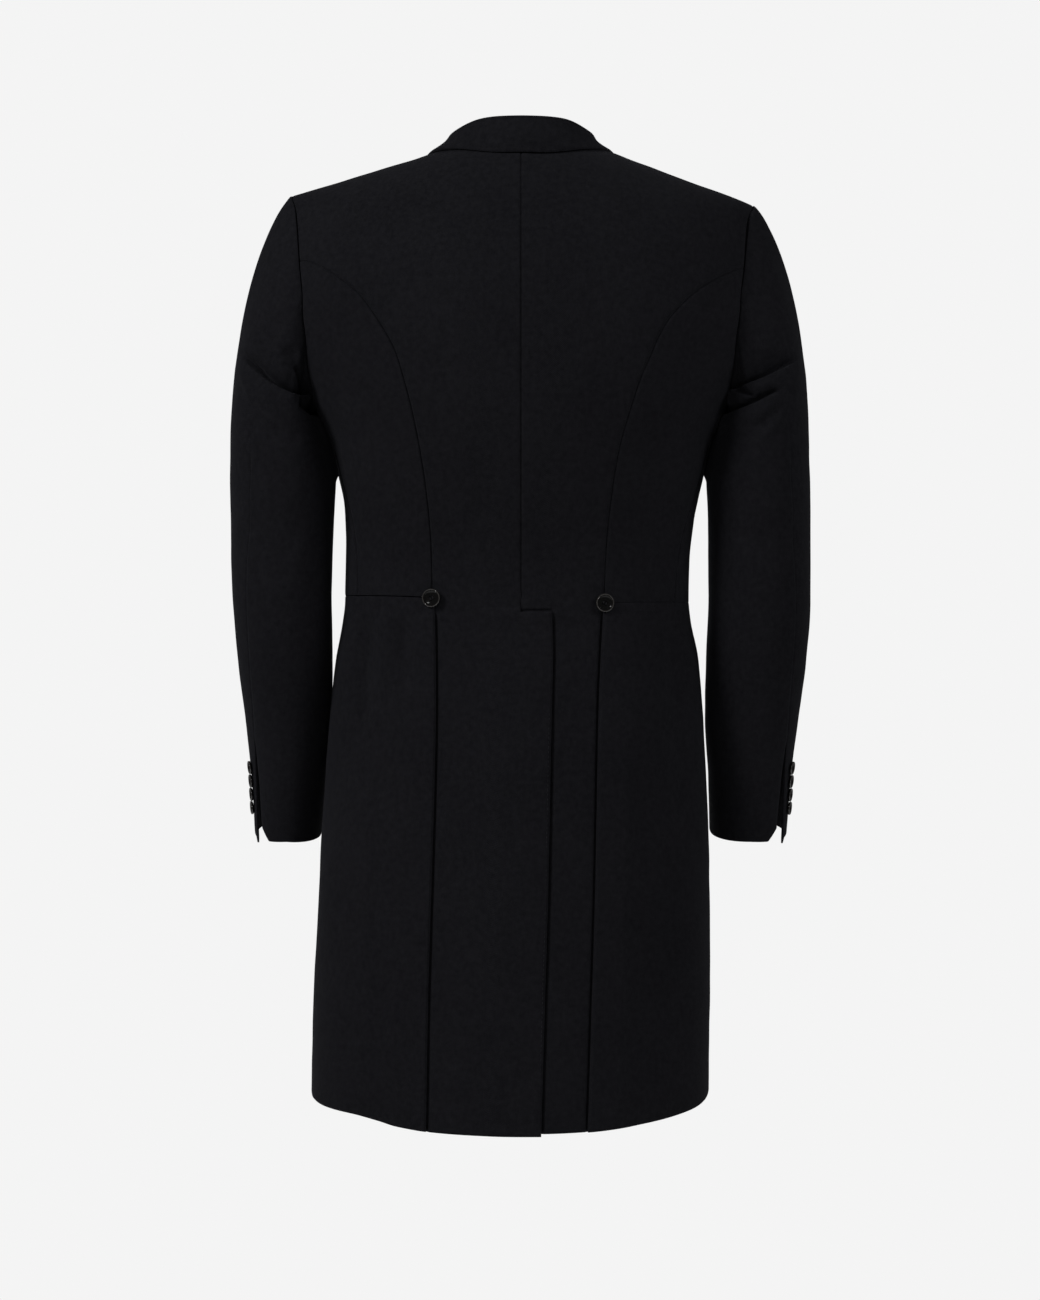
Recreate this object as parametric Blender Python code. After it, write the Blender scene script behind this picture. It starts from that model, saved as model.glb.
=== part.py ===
"""A morning coat: hollow, in the shape it has on its wearer, every cut piece a closed wall of cloth.

Metres, Z up. The coat's front faces -Y, its back faces +Y, and +X is the wearer's left.
The origin is the middle of the neck opening, where the wearer holds the coat up.
"""

import math

import bmesh
import bpy
import numpy as np

# Cloth
WALL = 0.0018  # thickness of the cloth with what is sewn inside it
GAP = 0.0003  # between two pieces at a seam
LAP = WALL + GAP  # how far a lapped piece stands off the piece under it

# Body
SHOULDER_DROP = 0.15  # height over which the back and the chest round over to the shoulder
SHOULDER_SEAM_Y = -0.008  # the shoulder seam lies this far in front of the ridge
STEP_Z = -0.4555  # hook at the top of the centre vent
VENT_LAP = 0.0303  # how far the left back skirt passes the centre at the hook
VENT_UNDER = 0.016  # how far the right back skirt runs under it
PLEAT_UNDER = 0.018  # how far a back skirt runs under the side skirt

# Buttons
WAIST_BUTTON = 0.0182
FRONT_BUTTON = 0.0200
CUFF_BUTTON = 0.0134
CUFF_BUTTON_STEP = 0.0138
CUFF_BUTTON_Z = -0.6055  # the top one of four

# The body's level rings: middle, half width, how deep it is behind and in front, and squareness.
BODY = [
    # z, middle, half_width, behind, in_front, square
    (-0.990, 0.0110, 0.1985, 0.1200, 0.1200, 2.2),
    (-0.930, 0.0105, 0.1985, 0.1200, 0.1200, 2.2),
    (-0.843, 0.0090, 0.1980, 0.1190, 0.1190, 2.2),
    (-0.743, 0.0068, 0.1955, 0.1170, 0.1180, 2.2),
    (-0.683, 0.0060, 0.1940, 0.1150, 0.1180, 2.2),
    (-0.620, 0.0052, 0.1905, 0.1110, 0.1170, 2.2),
    (-0.560, 0.0048, 0.1865, 0.1060, 0.1160, 2.2),
    (-0.503, 0.0040, 0.1810, 0.0995, 0.1140, 2.25),
    (-0.463, 0.0040, 0.1735, 0.0955, 0.1120, 2.3),
    (-0.443, 0.0040, 0.1715, 0.0955, 0.1110, 2.3),
    (-0.403, 0.0030, 0.1715, 0.0975, 0.1100, 2.3),
    (-0.363, 0.0010, 0.1740, 0.1040, 0.1110, 2.35),
    (-0.343, 0.0000, 0.1770, 0.1080, 0.1125, 2.4),
    (-0.323, 0.0000, 0.1815, 0.1120, 0.1150, 2.4),
    (-0.289, 0.0000, 0.1895, 0.1200, 0.1190, 2.4),
    (-0.254, 0.0000, 0.2057, 0.1270, 0.1230, 2.4),
    (-0.235, 0.0000, 0.2135, 0.1290, 0.1240, 2.4),
    (-0.210, 0.0000, 0.2235, 0.1300, 0.1240, 2.4),
    (-0.180, 0.0000, 0.2310, 0.1305, 0.1220, 2.4),
    (-0.150, 0.0000, 0.2350, 0.1290, 0.1180, 2.4),
    (-0.100, 0.0000, 0.2360, 0.1240, 0.1080, 2.4),
    (-0.050, 0.0000, 0.2360, 0.1150, 0.0960, 2.4),
    (0.030, 0.0000, 0.2360, 0.1000, 0.0850, 2.4),
]

# Height of the shoulder's ridge over the wearer's left and right side.
RIDGE = [
    # out, left, right
    (0.000, 0.0200, 0.0200),
    (0.055, 0.0140, 0.0140),
    (0.084, 0.0050, 0.0055),
    (0.096, 0.0010, 0.0015),
    (0.111, -0.0045, -0.0045),
    (0.132, -0.0110, -0.0120),
    (0.172, -0.0230, -0.0265),
    (0.212, -0.0350, -0.0410),
    (0.228, -0.0395, -0.0475),
    (0.260, -0.0490, -0.0600),
]

# The armhole, going from the shoulder point back, under the arm and up the front.
ARMHOLE = [
    # turn, left, right, y, z_left, z_right
    (0, 0.2265, 0.2305, -0.008, -0.0400, -0.0490),
    (20, 0.2245, 0.2285, 0.020, -0.0520, -0.0600),
    (38, 0.2225, 0.2272, 0.036, -0.0730, -0.0800),
    (58, 0.2195, 0.2240, 0.051, -0.1090, -0.1148),
    (80, 0.2165, 0.2200, 0.062, -0.1500, -0.1500),
    (97, 0.2150, 0.2160, 0.062, -0.1800, -0.1800),
    (117, 0.2120, 0.2120, 0.053, -0.2120, -0.2120),
    (138, 0.2080, 0.2080, 0.038, -0.2380, -0.2380),
    (160, 0.2050, 0.2050, 0.018, -0.2550, -0.2550),
    (180, 0.2050, 0.2050, -0.004, -0.2560, -0.2560),
    (200, 0.2055, 0.2055, -0.026, -0.2500, -0.2500),
    (222, 0.2055, 0.2055, -0.047, -0.2320, -0.2320),
    (245, 0.2045, 0.2045, -0.064, -0.2000, -0.2000),
    (268, 0.2050, 0.2050, -0.070, -0.1650, -0.1650),
    (290, 0.2080, 0.2080, -0.064, -0.1300, -0.1300),
    (312, 0.2130, 0.2140, -0.051, -0.0960, -0.0980),
    (335, 0.2200, 0.2220, -0.033, -0.0650, -0.0700),
    (360, 0.2265, 0.2305, -0.008, -0.0400, -0.0490),
]
TURN_CURVED = 58  # where the curved side-back seam meets the armhole
TURN_SIDE = 160  # where the side seam meets it

# Curved side-back seam from the armhole to the waist button.
CURVED = [
    # left, z_left, right, z_right
    (0.2195, -0.1090, 0.2240, -0.1148),
    (0.2116, -0.1093, 0.2096, -0.1194),
    (0.1943, -0.1172, 0.1921, -0.1284),
    (0.1770, -0.1292, 0.1743, -0.1400),
    (0.1589, -0.1447, 0.1568, -0.1559),
    (0.1459, -0.1620, 0.1439, -0.1710),
    (0.1330, -0.1819, 0.1330, -0.1899),
    (0.1222, -0.2027, 0.1247, -0.2097),
    (0.1123, -0.2352, 0.1162, -0.2289),
    (0.1054, -0.2627, 0.1064, -0.2588),
    (0.0986, -0.2977, 0.0957, -0.2977),
    (0.0929, -0.3366, 0.0880, -0.3463),
    (0.0891, -0.3755, 0.0833, -0.3950),
    (0.0871, -0.4420, 0.0814, -0.4468),
]

# Side seam from under the arm to the waist: how far behind the body's middle it runs.
SIDE = [
    # z, y
    (-0.4480, 0.046),
    (-0.3760, 0.042),
    (-0.3350, 0.034),
    (-0.2885, 0.026),
    (-0.2550, 0.018),
]

# Waist seam round the body, from the waist button to the front.
WAIST = [
    # turn, left, right
    (30, -0.4420, -0.4468),
    (75, -0.4385, -0.4452),
    (110, -0.4400, -0.4455),
    (186, -0.4490, -0.4490),
]

# Side pleat under the waist button.
PLEAT = [
    # z, left, right
    (-0.9700, 0.0930, 0.0650),
    (-0.8346, 0.0908, 0.0693),
    (-0.7370, 0.0878, 0.0722),
    (-0.6395, 0.0850, 0.0742),
    (-0.5419, 0.0833, 0.0763),
    (-0.4588, 0.0845, 0.0804),
    (-0.4420, 0.0871, 0.0814),
]

# Free edge of the left back skirt at the centre vent.
VENT = [
    # z, past_centre
    (-0.9700, 0.0195),
    (-0.8338, 0.0234),
    (-0.7365, 0.0263),
    (-0.6392, 0.0283),
    (-0.5418, 0.0303),
    (-0.4930, 0.0313),
    (STEP_Z, VENT_LAP),
]

# Hem of the side skirts, from the pleat to the side, and its round corner at the front edge.
HEM = [
    # turn, left, right
    (25, -0.9645, -0.9640),
    (35, -0.9632, -0.9632),
    (47, -0.9586, -0.9600),
    (53, -0.9545, -0.9575),
    (61, -0.9495, -0.9537),
    (70, -0.9460, -0.9485),
    (77, -0.9430, -0.9440),
    (84, -0.9385, -0.9385),
    (91, -0.9300, -0.9300),
    (96, -0.9180, -0.9180),
]

# Cutaway front edge of the skirts, from the waist seam to the round corner.
CUTAWAY = [
    # z, turn
    (-0.9180, 96),
    (-0.8900, 99),
    (-0.8500, 103),
    (-0.8000, 108),
    (-0.7500, 114),
    (-0.7000, 121),
    (-0.6500, 129),
    (-0.6000, 138),
    (-0.5500, 149),
    (-0.5000, 164),
    (-0.4700, 177),
    (-0.4490, 186),
]

# Front edge of the foreparts: neck, roll line, and the overlap at the front button.
FRONT = [
    # z, out
    (-0.4490, -0.0120),
    (-0.4250, -0.0145),
    (-0.4000, -0.0060),
    (-0.3500, 0.0075),
    (-0.2500, 0.0302),
    (-0.1500, 0.0530),
    (-0.0600, 0.0735),
    (-0.0400, 0.0775),
    (-0.0200, 0.0810),
    (0.0035, 0.0840),
]

# Neck edge of the back, from the centre to the shoulder.
NECK = [
    # out, z
    (0.000, 0.0080),
    (0.030, 0.0085),
    (0.055, 0.0090),
    (0.070, 0.0080),
    (0.080, 0.0060),
]

# Outer edge of the lapels, from the peak to the front button, and their top edge.
LAPEL = [
    # z, out
    (-0.4040, -0.0050),
    (-0.3850, 0.0160),
    (-0.3500, 0.0420),
    (-0.3000, 0.0680),
    (-0.2400, 0.0925),
    (-0.1800, 0.1130),
    (-0.1200, 0.1305),
    (-0.0700, 0.1430),
    (-0.0420, 0.1500),
]
GORGE = [
    # out, z
    (0.0730, -0.0620),
    (0.1000, -0.0575),
    (0.1150, -0.0540),
    (0.1500, -0.0420),
]

# The collar, from the centre back to its front end. Its seam follows the neck edge; the fold is
# given beside the seam, and the free edge on the body's form, which it lies on.
COLLAR = [
    # share, fold_out, fold_y, fold_up, edge_x, edge_y, z_left, z_right
    (0.00, 0.0000, 0.0070, 0.0264, 0.0000, 0.0625, -0.0034, -0.0034),
    (0.10, -0.0010, 0.0070, 0.0260, 0.0225, 0.0612, -0.0028, -0.0034),
    (0.20, -0.0035, 0.0055, 0.0242, 0.0440, 0.0550, -0.0009, -0.0026),
    (0.32, -0.0070, 0.0020, 0.0185, 0.0620, 0.0450, 0.0014, -0.0006),
    (0.42, -0.0090, -0.0010, 0.0145, 0.0750, 0.0330, 0.0024, 0.0006),
    (0.50, -0.0108, -0.0030, 0.0120, 0.0838, 0.0200, 0.0026, 0.0014),
    (0.58, -0.0100, -0.0020, 0.0100, 0.0885, 0.0050, 0.0020, 0.0014),
    (0.66, -0.0085, -0.0030, 0.0100, 0.0930, -0.0120, -0.0004, -0.0004),
    (0.75, -0.0065, -0.0035, 0.0110, 0.0990, -0.0330, -0.0095, -0.0095),
    (0.84, -0.0050, -0.0040, 0.0110, 0.1050, -0.0510, -0.0257, -0.0257),
    (0.92, -0.0035, -0.0050, 0.0090, 0.1090, -0.0610, -0.0390, -0.0390),
    (1.00, -0.0020, -0.0055, 0.0060, 0.1120, -0.0672, -0.0500, -0.0500),
]

# Level sections of the sleeves' outside under the armpit.
SLEEVE = [
    # z, outer_left, inner_left, outer_right, inner_right, deep, middle_y, tilt
    (-0.6760, 0.2690, 0.2012, 0.2690, 0.1905, 0.0540, -0.0560, 0.20),
    (-0.6200, 0.2715, 0.1960, 0.2720, 0.1885, 0.0540, -0.0400, 0.17),
    (-0.5600, 0.2770, 0.1905, 0.2790, 0.1850, 0.0550, -0.0260, 0.14),
    (-0.5030, 0.2840, 0.1890, 0.2860, 0.1860, 0.0570, -0.0140, 0.10),
    (-0.4430, 0.2885, 0.1895, 0.2900, 0.1880, 0.0600, -0.0060, 0.05),
    (-0.4030, 0.2900, 0.1885, 0.2900, 0.1875, 0.0615, -0.0030, 0.02),
    (-0.3630, 0.2900, 0.1870, 0.2900, 0.1870, 0.0635, -0.0010, 0.00),
    (-0.3230, 0.2905, 0.1862, 0.2895, 0.1862, 0.0660, 0.0010, 0.00),
    (-0.3000, 0.2900, 0.1900, 0.2885, 0.1900, 0.0675, 0.0020, 0.00),
]
SLEEVE_TOP = -0.3000  # the cap runs from the armhole down to here
SLEEVE_SQUARE = 2.2

# How a sleeve leaves the armhole: direction beside one metre down, and how far the curve holds it.
CAP = [
    # turn, out, back, hold_start, hold_end
    (0, 0.90, 0.00, 0.20, 0.42),
    (45, 0.70, 0.18, 0.25, 0.42),
    (90, 0.25, 0.12, 0.30, 0.40),
    (135, -0.10, 0.05, 0.30, 0.35),
    (180, -0.35, 0.00, 0.30, 0.30),
    (225, -0.10, -0.05, 0.30, 0.35),
    (270, 0.25, -0.12, 0.30, 0.40),
    (315, 0.70, -0.18, 0.25, 0.42),
    (360, 0.90, 0.00, 0.20, 0.42),
]

# The seam at the back of the sleeve, and the one inside its front.
HINDARM = [
    # z, turn
    (-0.690, 40),
    (-0.573, 48),
    (-0.440, 55),
    (-0.360, 60),
    (-0.285, 66),
    (-0.150, 80),
]
FOREARM_TURN = 240

# Largest folds of the cloth: from one end to the other, half as wide, and how high or deep.
SLEEVE_FOLDS = [
    # side, face, out_1, z_1, out_2, z_2, half_width, height
    (1, 1, 0.2850, -0.1930, 0.2080, -0.2400, 0.0130, -0.0070),
    (1, 1, 0.2850, -0.2150, 0.2450, -0.2480, 0.0120, 0.0035),
    (1, 1, 0.2300, -0.1930, 0.2150, -0.2180, 0.0080, -0.0025),
    (1, 1, 0.2750, -0.3600, 0.2150, -0.3900, 0.0250, -0.0030),
    (-1, 1, 0.2750, -0.2030, 0.2130, -0.2300, 0.0110, -0.0055),
    (-1, 1, 0.2580, -0.2350, 0.2100, -0.2560, 0.0100, -0.0045),
    (-1, 1, 0.2850, -0.2250, 0.2350, -0.2700, 0.0140, 0.0030),
    (-1, 1, 0.2750, -0.3700, 0.2200, -0.3950, 0.0250, -0.0025),
    (1, -1, 0.2800, -0.1850, 0.2200, -0.2450, 0.0140, -0.0055),
    (1, -1, 0.2750, -0.3300, 0.2100, -0.3450, 0.0160, -0.0060),
    (1, -1, 0.2650, -0.3750, 0.2050, -0.3700, 0.0140, -0.0045),
    (-1, -1, 0.2780, -0.1950, 0.2180, -0.2380, 0.0130, -0.0050),
    (-1, -1, 0.2800, -0.3450, 0.2050, -0.3500, 0.0170, -0.0060),
    (-1, -1, 0.2600, -0.3900, 0.2000, -0.3800, 0.0130, -0.0040),
]
BODY_FOLDS = [
    # side, face, out_1, z_1, out_2, z_2, half_width, height
    (1, 1, 0.1500, -0.4520, 0.1560, -0.5700, 0.0120, -0.0035),
    (1, 1, 0.1320, -0.4560, 0.1300, -0.5500, 0.0110, 0.0028),
    (1, 1, 0.1120, -0.4580, 0.1080, -0.5300, 0.0110, -0.0022),
    (-1, 1, 0.1520, -0.4560, 0.1620, -0.6400, 0.0140, -0.0030),
    (-1, 1, 0.1250, -0.4600, 0.1300, -0.5600, 0.0140, 0.0020),
    (1, 1, 0.2000, -0.1600, 0.1750, -0.2600, 0.0160, -0.0040),
    (-1, 1, 0.1980, -0.1650, 0.1750, -0.2600, 0.0160, -0.0040),
]


def smooth(rows, column, at):
    """A column of a table as a smooth function of its first column, which rises or falls."""
    data = np.array([row for row in rows if not isinstance(row[0], str)], float)
    data = data[np.argsort(data[:, 0])]
    xs, ys = data[:, 0], data[:, column]
    at = np.clip(np.asarray(at, float), xs[0], xs[-1])
    step = np.diff(xs)
    slope = np.diff(ys) / step
    both = slope[:-1] * slope[1:]
    total = slope[:-1] + slope[1:]
    inner = np.where(both > 0, 2 * both / np.where(both > 0, total, 1), 0)
    lean = np.concatenate([slope[:1], inner, slope[-1:]])
    i = np.clip(np.searchsorted(xs, at, side="right") - 1, 0, len(xs) - 2)
    t = (at - xs[i]) / step[i]
    return (
        ys[i] * (1 + 2 * t) * (1 - t) ** 2
        + ys[i + 1] * t * t * (3 - 2 * t)
        + step[i] * (lean[i] * t * (1 - t) ** 2 - lean[i + 1] * t * t * (1 - t))
    )


def ease(t):
    """Zero below 0, one above 1, and a soft step between."""
    t = np.clip(t, 0, 1)
    return t * t * (3 - 2 * t)


def ridge(x):
    """Height of the shoulder ridge at a place across the body."""
    return np.where(x >= 0, smooth(RIDGE, 1, np.abs(x)), smooth(RIDGE, 2, np.abs(x)))


def closing(x, z):
    """How much of its full depth, to the ring's power, the body has near the shoulder ridge."""
    down = (ridge(x) - z) / SHOULDER_DROP
    return np.where(down < 0, 2 * down, 1 - np.clip(1 - down, 0, 1) ** 2)


def form(p):
    """Zero on the outer face of the body's cloth, below zero inside it and above outside."""
    x, y, z = p[..., 0] - smooth(BODY, 1, p[..., 2]), p[..., 1], p[..., 2]
    power = smooth(BODY, 5, z)
    deep = np.where(y > 0, smooth(BODY, 3, z), smooth(BODY, 4, z))
    across = (np.abs(x) / smooth(BODY, 2, z)) ** power
    return (np.abs(y) / deep) ** power - (1 - across) * closing(x, z)


def outward(p):
    """The direction out of the body's form, not yet of unit length."""
    step = 1e-5
    parts = []
    for k in range(3):
        d = np.zeros(3)
        d[k] = step
        parts.append((form(p + d) - form(p - d)) / (2 * step))
    return np.stack(parts, axis=-1)


def unit(v):
    return v / np.maximum(np.linalg.norm(v, axis=-1, keepdims=True), 1e-12)


def onto(p):
    """Points moved straight out or in until they lie on the body's form."""
    p = np.array(p, float)
    for _ in range(25):
        g = outward(p)
        size = np.maximum((g * g).sum(-1), 1e-6)
        move = -g * (form(p) / size)[..., None]
        far = np.maximum(np.linalg.norm(move, axis=-1, keepdims=True), 1e-12)
        p = p + move * np.minimum(1, 0.008 / far)
    return p


def on_face(x, z, face):
    """A point of the form from its place across and its height; face is 1 behind, -1 in front."""
    x, z = np.broadcast_arrays(np.asarray(x, float), np.asarray(z, float))
    out = x - smooth(BODY, 1, z)
    power = smooth(BODY, 5, z)
    deep = smooth(BODY, 3 if face > 0 else 4, z)
    left = (1 - (np.abs(out) / smooth(BODY, 2, z)) ** power) * closing(out, z)
    return np.stack([x, face * deep * np.clip(left, 0, None) ** (1 / power), z], axis=-1)


def on_top(x, y):
    """A point near the shoulder ridge from its place across and in depth."""
    x, y = np.broadcast_arrays(np.asarray(x, float), np.asarray(y, float))
    z = ridge(x)
    for _ in range(6):
        power = smooth(BODY, 5, z)
        deep = np.where(y > 0, smooth(BODY, 3, z), smooth(BODY, 4, z))
        across = (np.abs(x) / smooth(BODY, 2, z)) ** power
        part = np.clip((np.abs(y) / deep) ** power / (1 - across), 0, 1)
        z = ridge(x) - (1 - np.sqrt(1 - part)) * SHOULDER_DROP
    return np.stack([x, y, z], axis=-1)


def on_side(side, y, z):
    """A point of the form's side from its depth and height, under the shoulder."""
    y, z = np.broadcast_arrays(np.asarray(y, float), np.asarray(z, float))
    power = smooth(BODY, 5, z)
    deep = np.where(y > 0, smooth(BODY, 3, z), smooth(BODY, 4, z))
    out = smooth(BODY, 2, z) * (1 - (np.abs(y) / deep) ** power) ** (1 / power)
    return np.stack([smooth(BODY, 1, z) + side * out, y, z], axis=-1)


def ring(side, turn, z):
    """A point of a level ring; turn is in degrees, 0 behind, 90 at the side, 180 in front."""
    turn, z = np.broadcast_arrays(np.radians(turn), np.asarray(z, float))
    power = smooth(BODY, 5, z)
    deep = np.where(np.cos(turn) > 0, smooth(BODY, 3, z), smooth(BODY, 4, z))
    wide = smooth(BODY, 2, z)
    reach = (np.abs(np.sin(turn)) / wide) ** power + (np.abs(np.cos(turn)) / deep) ** power
    r = reach ** (-1 / power)
    x = smooth(BODY, 1, z) + side * r * np.sin(turn)
    return np.stack([x, r * np.cos(turn), z], axis=-1)


def armhole(side, turn):
    """The armhole's edge on the body's form."""
    turn = np.asarray(turn, float) % 360
    out = smooth(ARMHOLE, 1 if side > 0 else 2, turn)
    z = smooth(ARMHOLE, 4 if side > 0 else 5, turn)
    return onto(np.stack([side * out, smooth(ARMHOLE, 3, turn), z], axis=-1))


def spaced(points, count, shares=None):
    """The same line again with its points evenly spaced along it, or at given shares of it."""
    points = np.asarray(points, float)
    gone = np.concatenate([[0], np.cumsum(np.linalg.norm(np.diff(points, axis=0), axis=1))])
    at = np.linspace(0, gone[-1], count) if shares is None else np.asarray(shares) * gone[-1]
    return np.stack([np.interp(at, gone, points[:, k]) for k in range(3)], axis=-1)


def patch(left, right, top, bottom):
    """A grid between four edges: left and right run down, top and bottom run from left to right."""
    v = np.linspace(0, 1, len(left))[:, None, None]
    u = np.linspace(0, 1, len(top))[None, :, None]
    sides = (1 - u) * left[:, None] + u * right[:, None]
    ends = (1 - v) * top[None] + v * bottom[None]
    corners = (1 - v) * ((1 - u) * top[0] + u * top[-1]) + v * (
        (1 - u) * bottom[0] + u * bottom[-1]
    )
    return sides + ends - corners


def folds(rows, p):
    """How far the largest folds raise the cloth at each point, seen from behind or in front."""
    total = np.zeros(p.shape[:-1])
    for side, face, out_1, z_1, out_2, z_2, half_width, height in rows:
        a, b = np.array([side * out_1, z_1]), np.array([side * out_2, z_2])
        q = p[..., [0, 2]] - a
        length = float((b - a) @ (b - a))
        t = np.clip((q @ (b - a)) / length, 0, 1)
        away = np.linalg.norm(q - t[..., None] * (b - a), axis=-1) / half_width
        ends = ease(np.minimum(t, 1 - t) / 0.35 + 0.35)
        here = ease(face * p[..., 1] / 0.02)
        total += height * np.exp(-away * away) * ends * here
    return total


def cloth(points, raised=0.0):
    """The outer face of a body piece: its points, with folds and laps, and the way out."""
    points = onto(points)
    way = unit(outward(points))
    return points + way * (folds(BODY_FOLDS, points) + raised)[..., None], way


def material(name, colour, rough):
    m = bpy.data.materials.new(name)
    m.use_nodes = True
    shader = m.node_tree.nodes["Principled BSDF"]
    shader.inputs["Base Color"].default_value = (*colour, 1)
    shader.inputs["Roughness"].default_value = rough
    return m


def placed(name, bm, colour, rough):
    """A finished object from a bmesh, with its own material."""
    bmesh.ops.remove_doubles(bm, verts=bm.verts, dist=0.00001)
    bmesh.ops.recalc_face_normals(bm, faces=bm.faces)
    mesh = bpy.data.meshes.new(name)
    bm.to_mesh(mesh)
    bm.free()
    o = bpy.data.objects.new(name, mesh)
    bpy.context.scene.collection.objects.link(o)
    mesh.materials.append(material(name, colour, rough))
    return o


CLOTH_COLOUR = (0.0085, 0.0085, 0.0098)


def wall(name, outer, way, present=None, inset=GAP / 2, middle=False):
    """A closed wall of cloth from a grid of points; present says which cells of it there are."""
    rows, columns = outer.shape[:2]
    if present is None:
        present = np.ones((rows - 1, columns - 1), bool)
    pull = np.zeros_like(outer)
    cells = np.zeros((rows, columns))
    for i, j in zip(*np.nonzero(present)):
        centre = outer[i : i + 2, j : j + 2].mean(axis=(0, 1))
        for a in (i, i + 1):
            for b in (j, j + 1):
                pull[a, b] += unit(centre - outer[a, b])
                cells[a, b] += 1
    edge = (cells > 0) & (cells < 4)
    pull = unit(pull - (pull * way).sum(-1, keepdims=True) * way)
    corner = np.where(cells == 1, math.sqrt(2), 1.0)
    outer = outer + np.where(edge, inset * corner, 0)[..., None] * pull
    high, low = (outer + way * WALL / 2, outer - way * WALL / 2) if middle else (
        outer,
        outer - way * WALL,
    )
    bm = bmesh.new()
    top, under = {}, {}
    for i, j in zip(*np.nonzero(cells)):
        top[i, j] = bm.verts.new(high[i, j])
        under[i, j] = bm.verts.new(low[i, j])
    sides = {}
    for i, j in zip(*np.nonzero(present)):
        loop = [(i, j), (i, j + 1), (i + 1, j + 1), (i + 1, j)]
        for k in range(4):
            a, b = loop[k], loop[(k + 1) % 4]
            if (b, a) in sides:
                del sides[b, a]
            else:
                sides[a, b] = True
        short = np.linalg.norm(high[i, j] - high[i + 1, j + 1]) <= np.linalg.norm(
            high[i, j + 1] - high[i + 1, j]
        )
        for three in ((0, 1, 2), (0, 2, 3)) if short else ((0, 1, 3), (1, 2, 3)):
            bm.faces.new([top[loop[k]] for k in three])
            bm.faces.new([under[loop[k]] for k in reversed(three)])
    for a, b in sides:
        bm.faces.new([top[b], top[a], under[a], under[b]])
    bmesh.ops.triangulate(bm, faces=[f for f in bm.faces if len(f.verts) > 3])
    return placed(name, bm, CLOTH_COLOUR, 0.85)


def side_name(side):
    return "left" if side > 0 else "right"


def curved_seam(side, z_at=None):
    """The curved side-back seam on the form, from the armhole to the waist."""
    column = 0 if side > 0 else 2
    line = np.array([(side * row[column], row[column + 1]) for row in CURVED])
    points = on_face(line[:, 0], line[:, 1], 1)
    points[0] = armhole(side, TURN_CURVED)
    fine = [points[0]]
    for a, b in zip(points[:-1], points[1:]):
        fine += [a + (b - a) * t for t in (0.25, 0.5, 0.75, 1.0)]
    return onto(np.array(fine))


def neck_line(side):
    """The back's neck edge from the centre to the shoulder seam."""
    out = np.array([row[0] for row in NECK])
    points = on_face(side * out, [row[1] for row in NECK], 1)
    end = on_top(side * FRONT[-1][1], SHOULDER_SEAM_Y)
    return np.concatenate([points, end[None]])


def shoulder_line(side):
    """The shoulder seam from the neck to the shoulder point."""
    tip = armhole(side, 0)
    out = np.linspace(FRONT[-1][1], abs(tip[0]), 14)
    line = on_top(side * out, SHOULDER_SEAM_Y)
    line[-1] = tip
    return line


BACK_ROWS_ABOVE = 22
BACK_ROWS_BELOW = 20
BACK_COLUMNS = 9


def back(side):
    """A back, from the neck to the hem, with its vent lap and its tongue under the side skirt."""
    name = side_name(side)
    top = np.concatenate(
        [spaced(neck_line(side), 4), spaced(shoulder_line(side), BACK_COLUMNS - 3)[1:]]
    )
    arm = armhole(side, np.linspace(0, TURN_CURVED, 9))
    edge = np.concatenate([arm, curved_seam(side)[1:]])
    edge = np.concatenate([spaced(arm, 5), spaced(curved_seam(side), BACK_ROWS_ABOVE - 4)[1:]])
    waist_z = edge[-1][2]
    centre_z = np.linspace(NECK[0][1], STEP_Z, BACK_ROWS_ABOVE)
    centre = onto(on_face(np.zeros_like(centre_z), centre_z, 1))
    waist_out = np.linspace(0, edge[-1][0], BACK_COLUMNS)
    waist = on_face(waist_out, np.linspace(STEP_Z, waist_z, BACK_COLUMNS), 1)
    upper = onto(patch(centre, edge, top, waist))

    share = np.linspace(0, 1, BACK_ROWS_BELOW) ** 1.15
    hem_z = -0.9672 if side > 0 else -0.9648
    down = STEP_Z + (hem_z - STEP_Z) * share
    side_end = float(smooth(HEM, 1 if side > 0 else 2, 35))
    side_z = waist_z + (side_end - waist_z) * share
    side_x = side * smooth(PLEAT, 1 if side > 0 else 2, side_z)
    low_x = np.linspace(0, side_x[-1], BACK_COLUMNS)
    low_z = hem_z + (side_end - hem_z) * np.linspace(0, 1, BACK_COLUMNS) ** 2
    lower = onto(
        patch(
            on_face(np.zeros_like(down), down, 1),
            on_face(side_x, side_z, 1),
            waist,
            on_face(low_x, low_z, 1),
        )
    )
    body = np.concatenate([upper, lower[1:]])
    step_row = BACK_ROWS_ABOVE - 1

    lap = 3 if side > 0 else 2
    all_z = body[:, 0, 2]
    reach = smooth(VENT, 1, all_z) if side > 0 else np.full(len(body), VENT_UNDER)
    vent = []
    for k in range(lap, 0, -1):
        z = all_z + (0.0025 * (all_z < -0.95) if side < 0 else 0)
        vent.append(on_face(-side * reach * k / lap, z, 1))
    tongue = []
    for k in (1, 2):
        x = body[:, -1, 0] + side * PLEAT_UNDER * k / 2
        z = body[:, -1, 2] + 0.0025 * (body[:, -1, 2] < -0.95)
        tongue.append(on_face(np.clip(x, -0.17, 0.17), z, 1))
    grid = np.concatenate([np.stack(vent, 1), body, np.stack(tongue, 1)], axis=1)

    present = np.ones((len(grid) - 1, grid.shape[1] - 1), bool)
    present[: step_row + (0 if side > 0 else 1), :lap] = False
    present[: step_row + 1, -2:] = False
    x, z = grid[..., 0] * side, grid[..., 2]
    raised = np.zeros_like(x)
    if side > 0:
        raised = LAP * ease((0.046 - x) / 0.028) * ease((-0.440 - z) / 0.0150)
    grid, way = cloth(grid, raised)
    return wall("back_" + name, grid, way, present)


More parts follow.
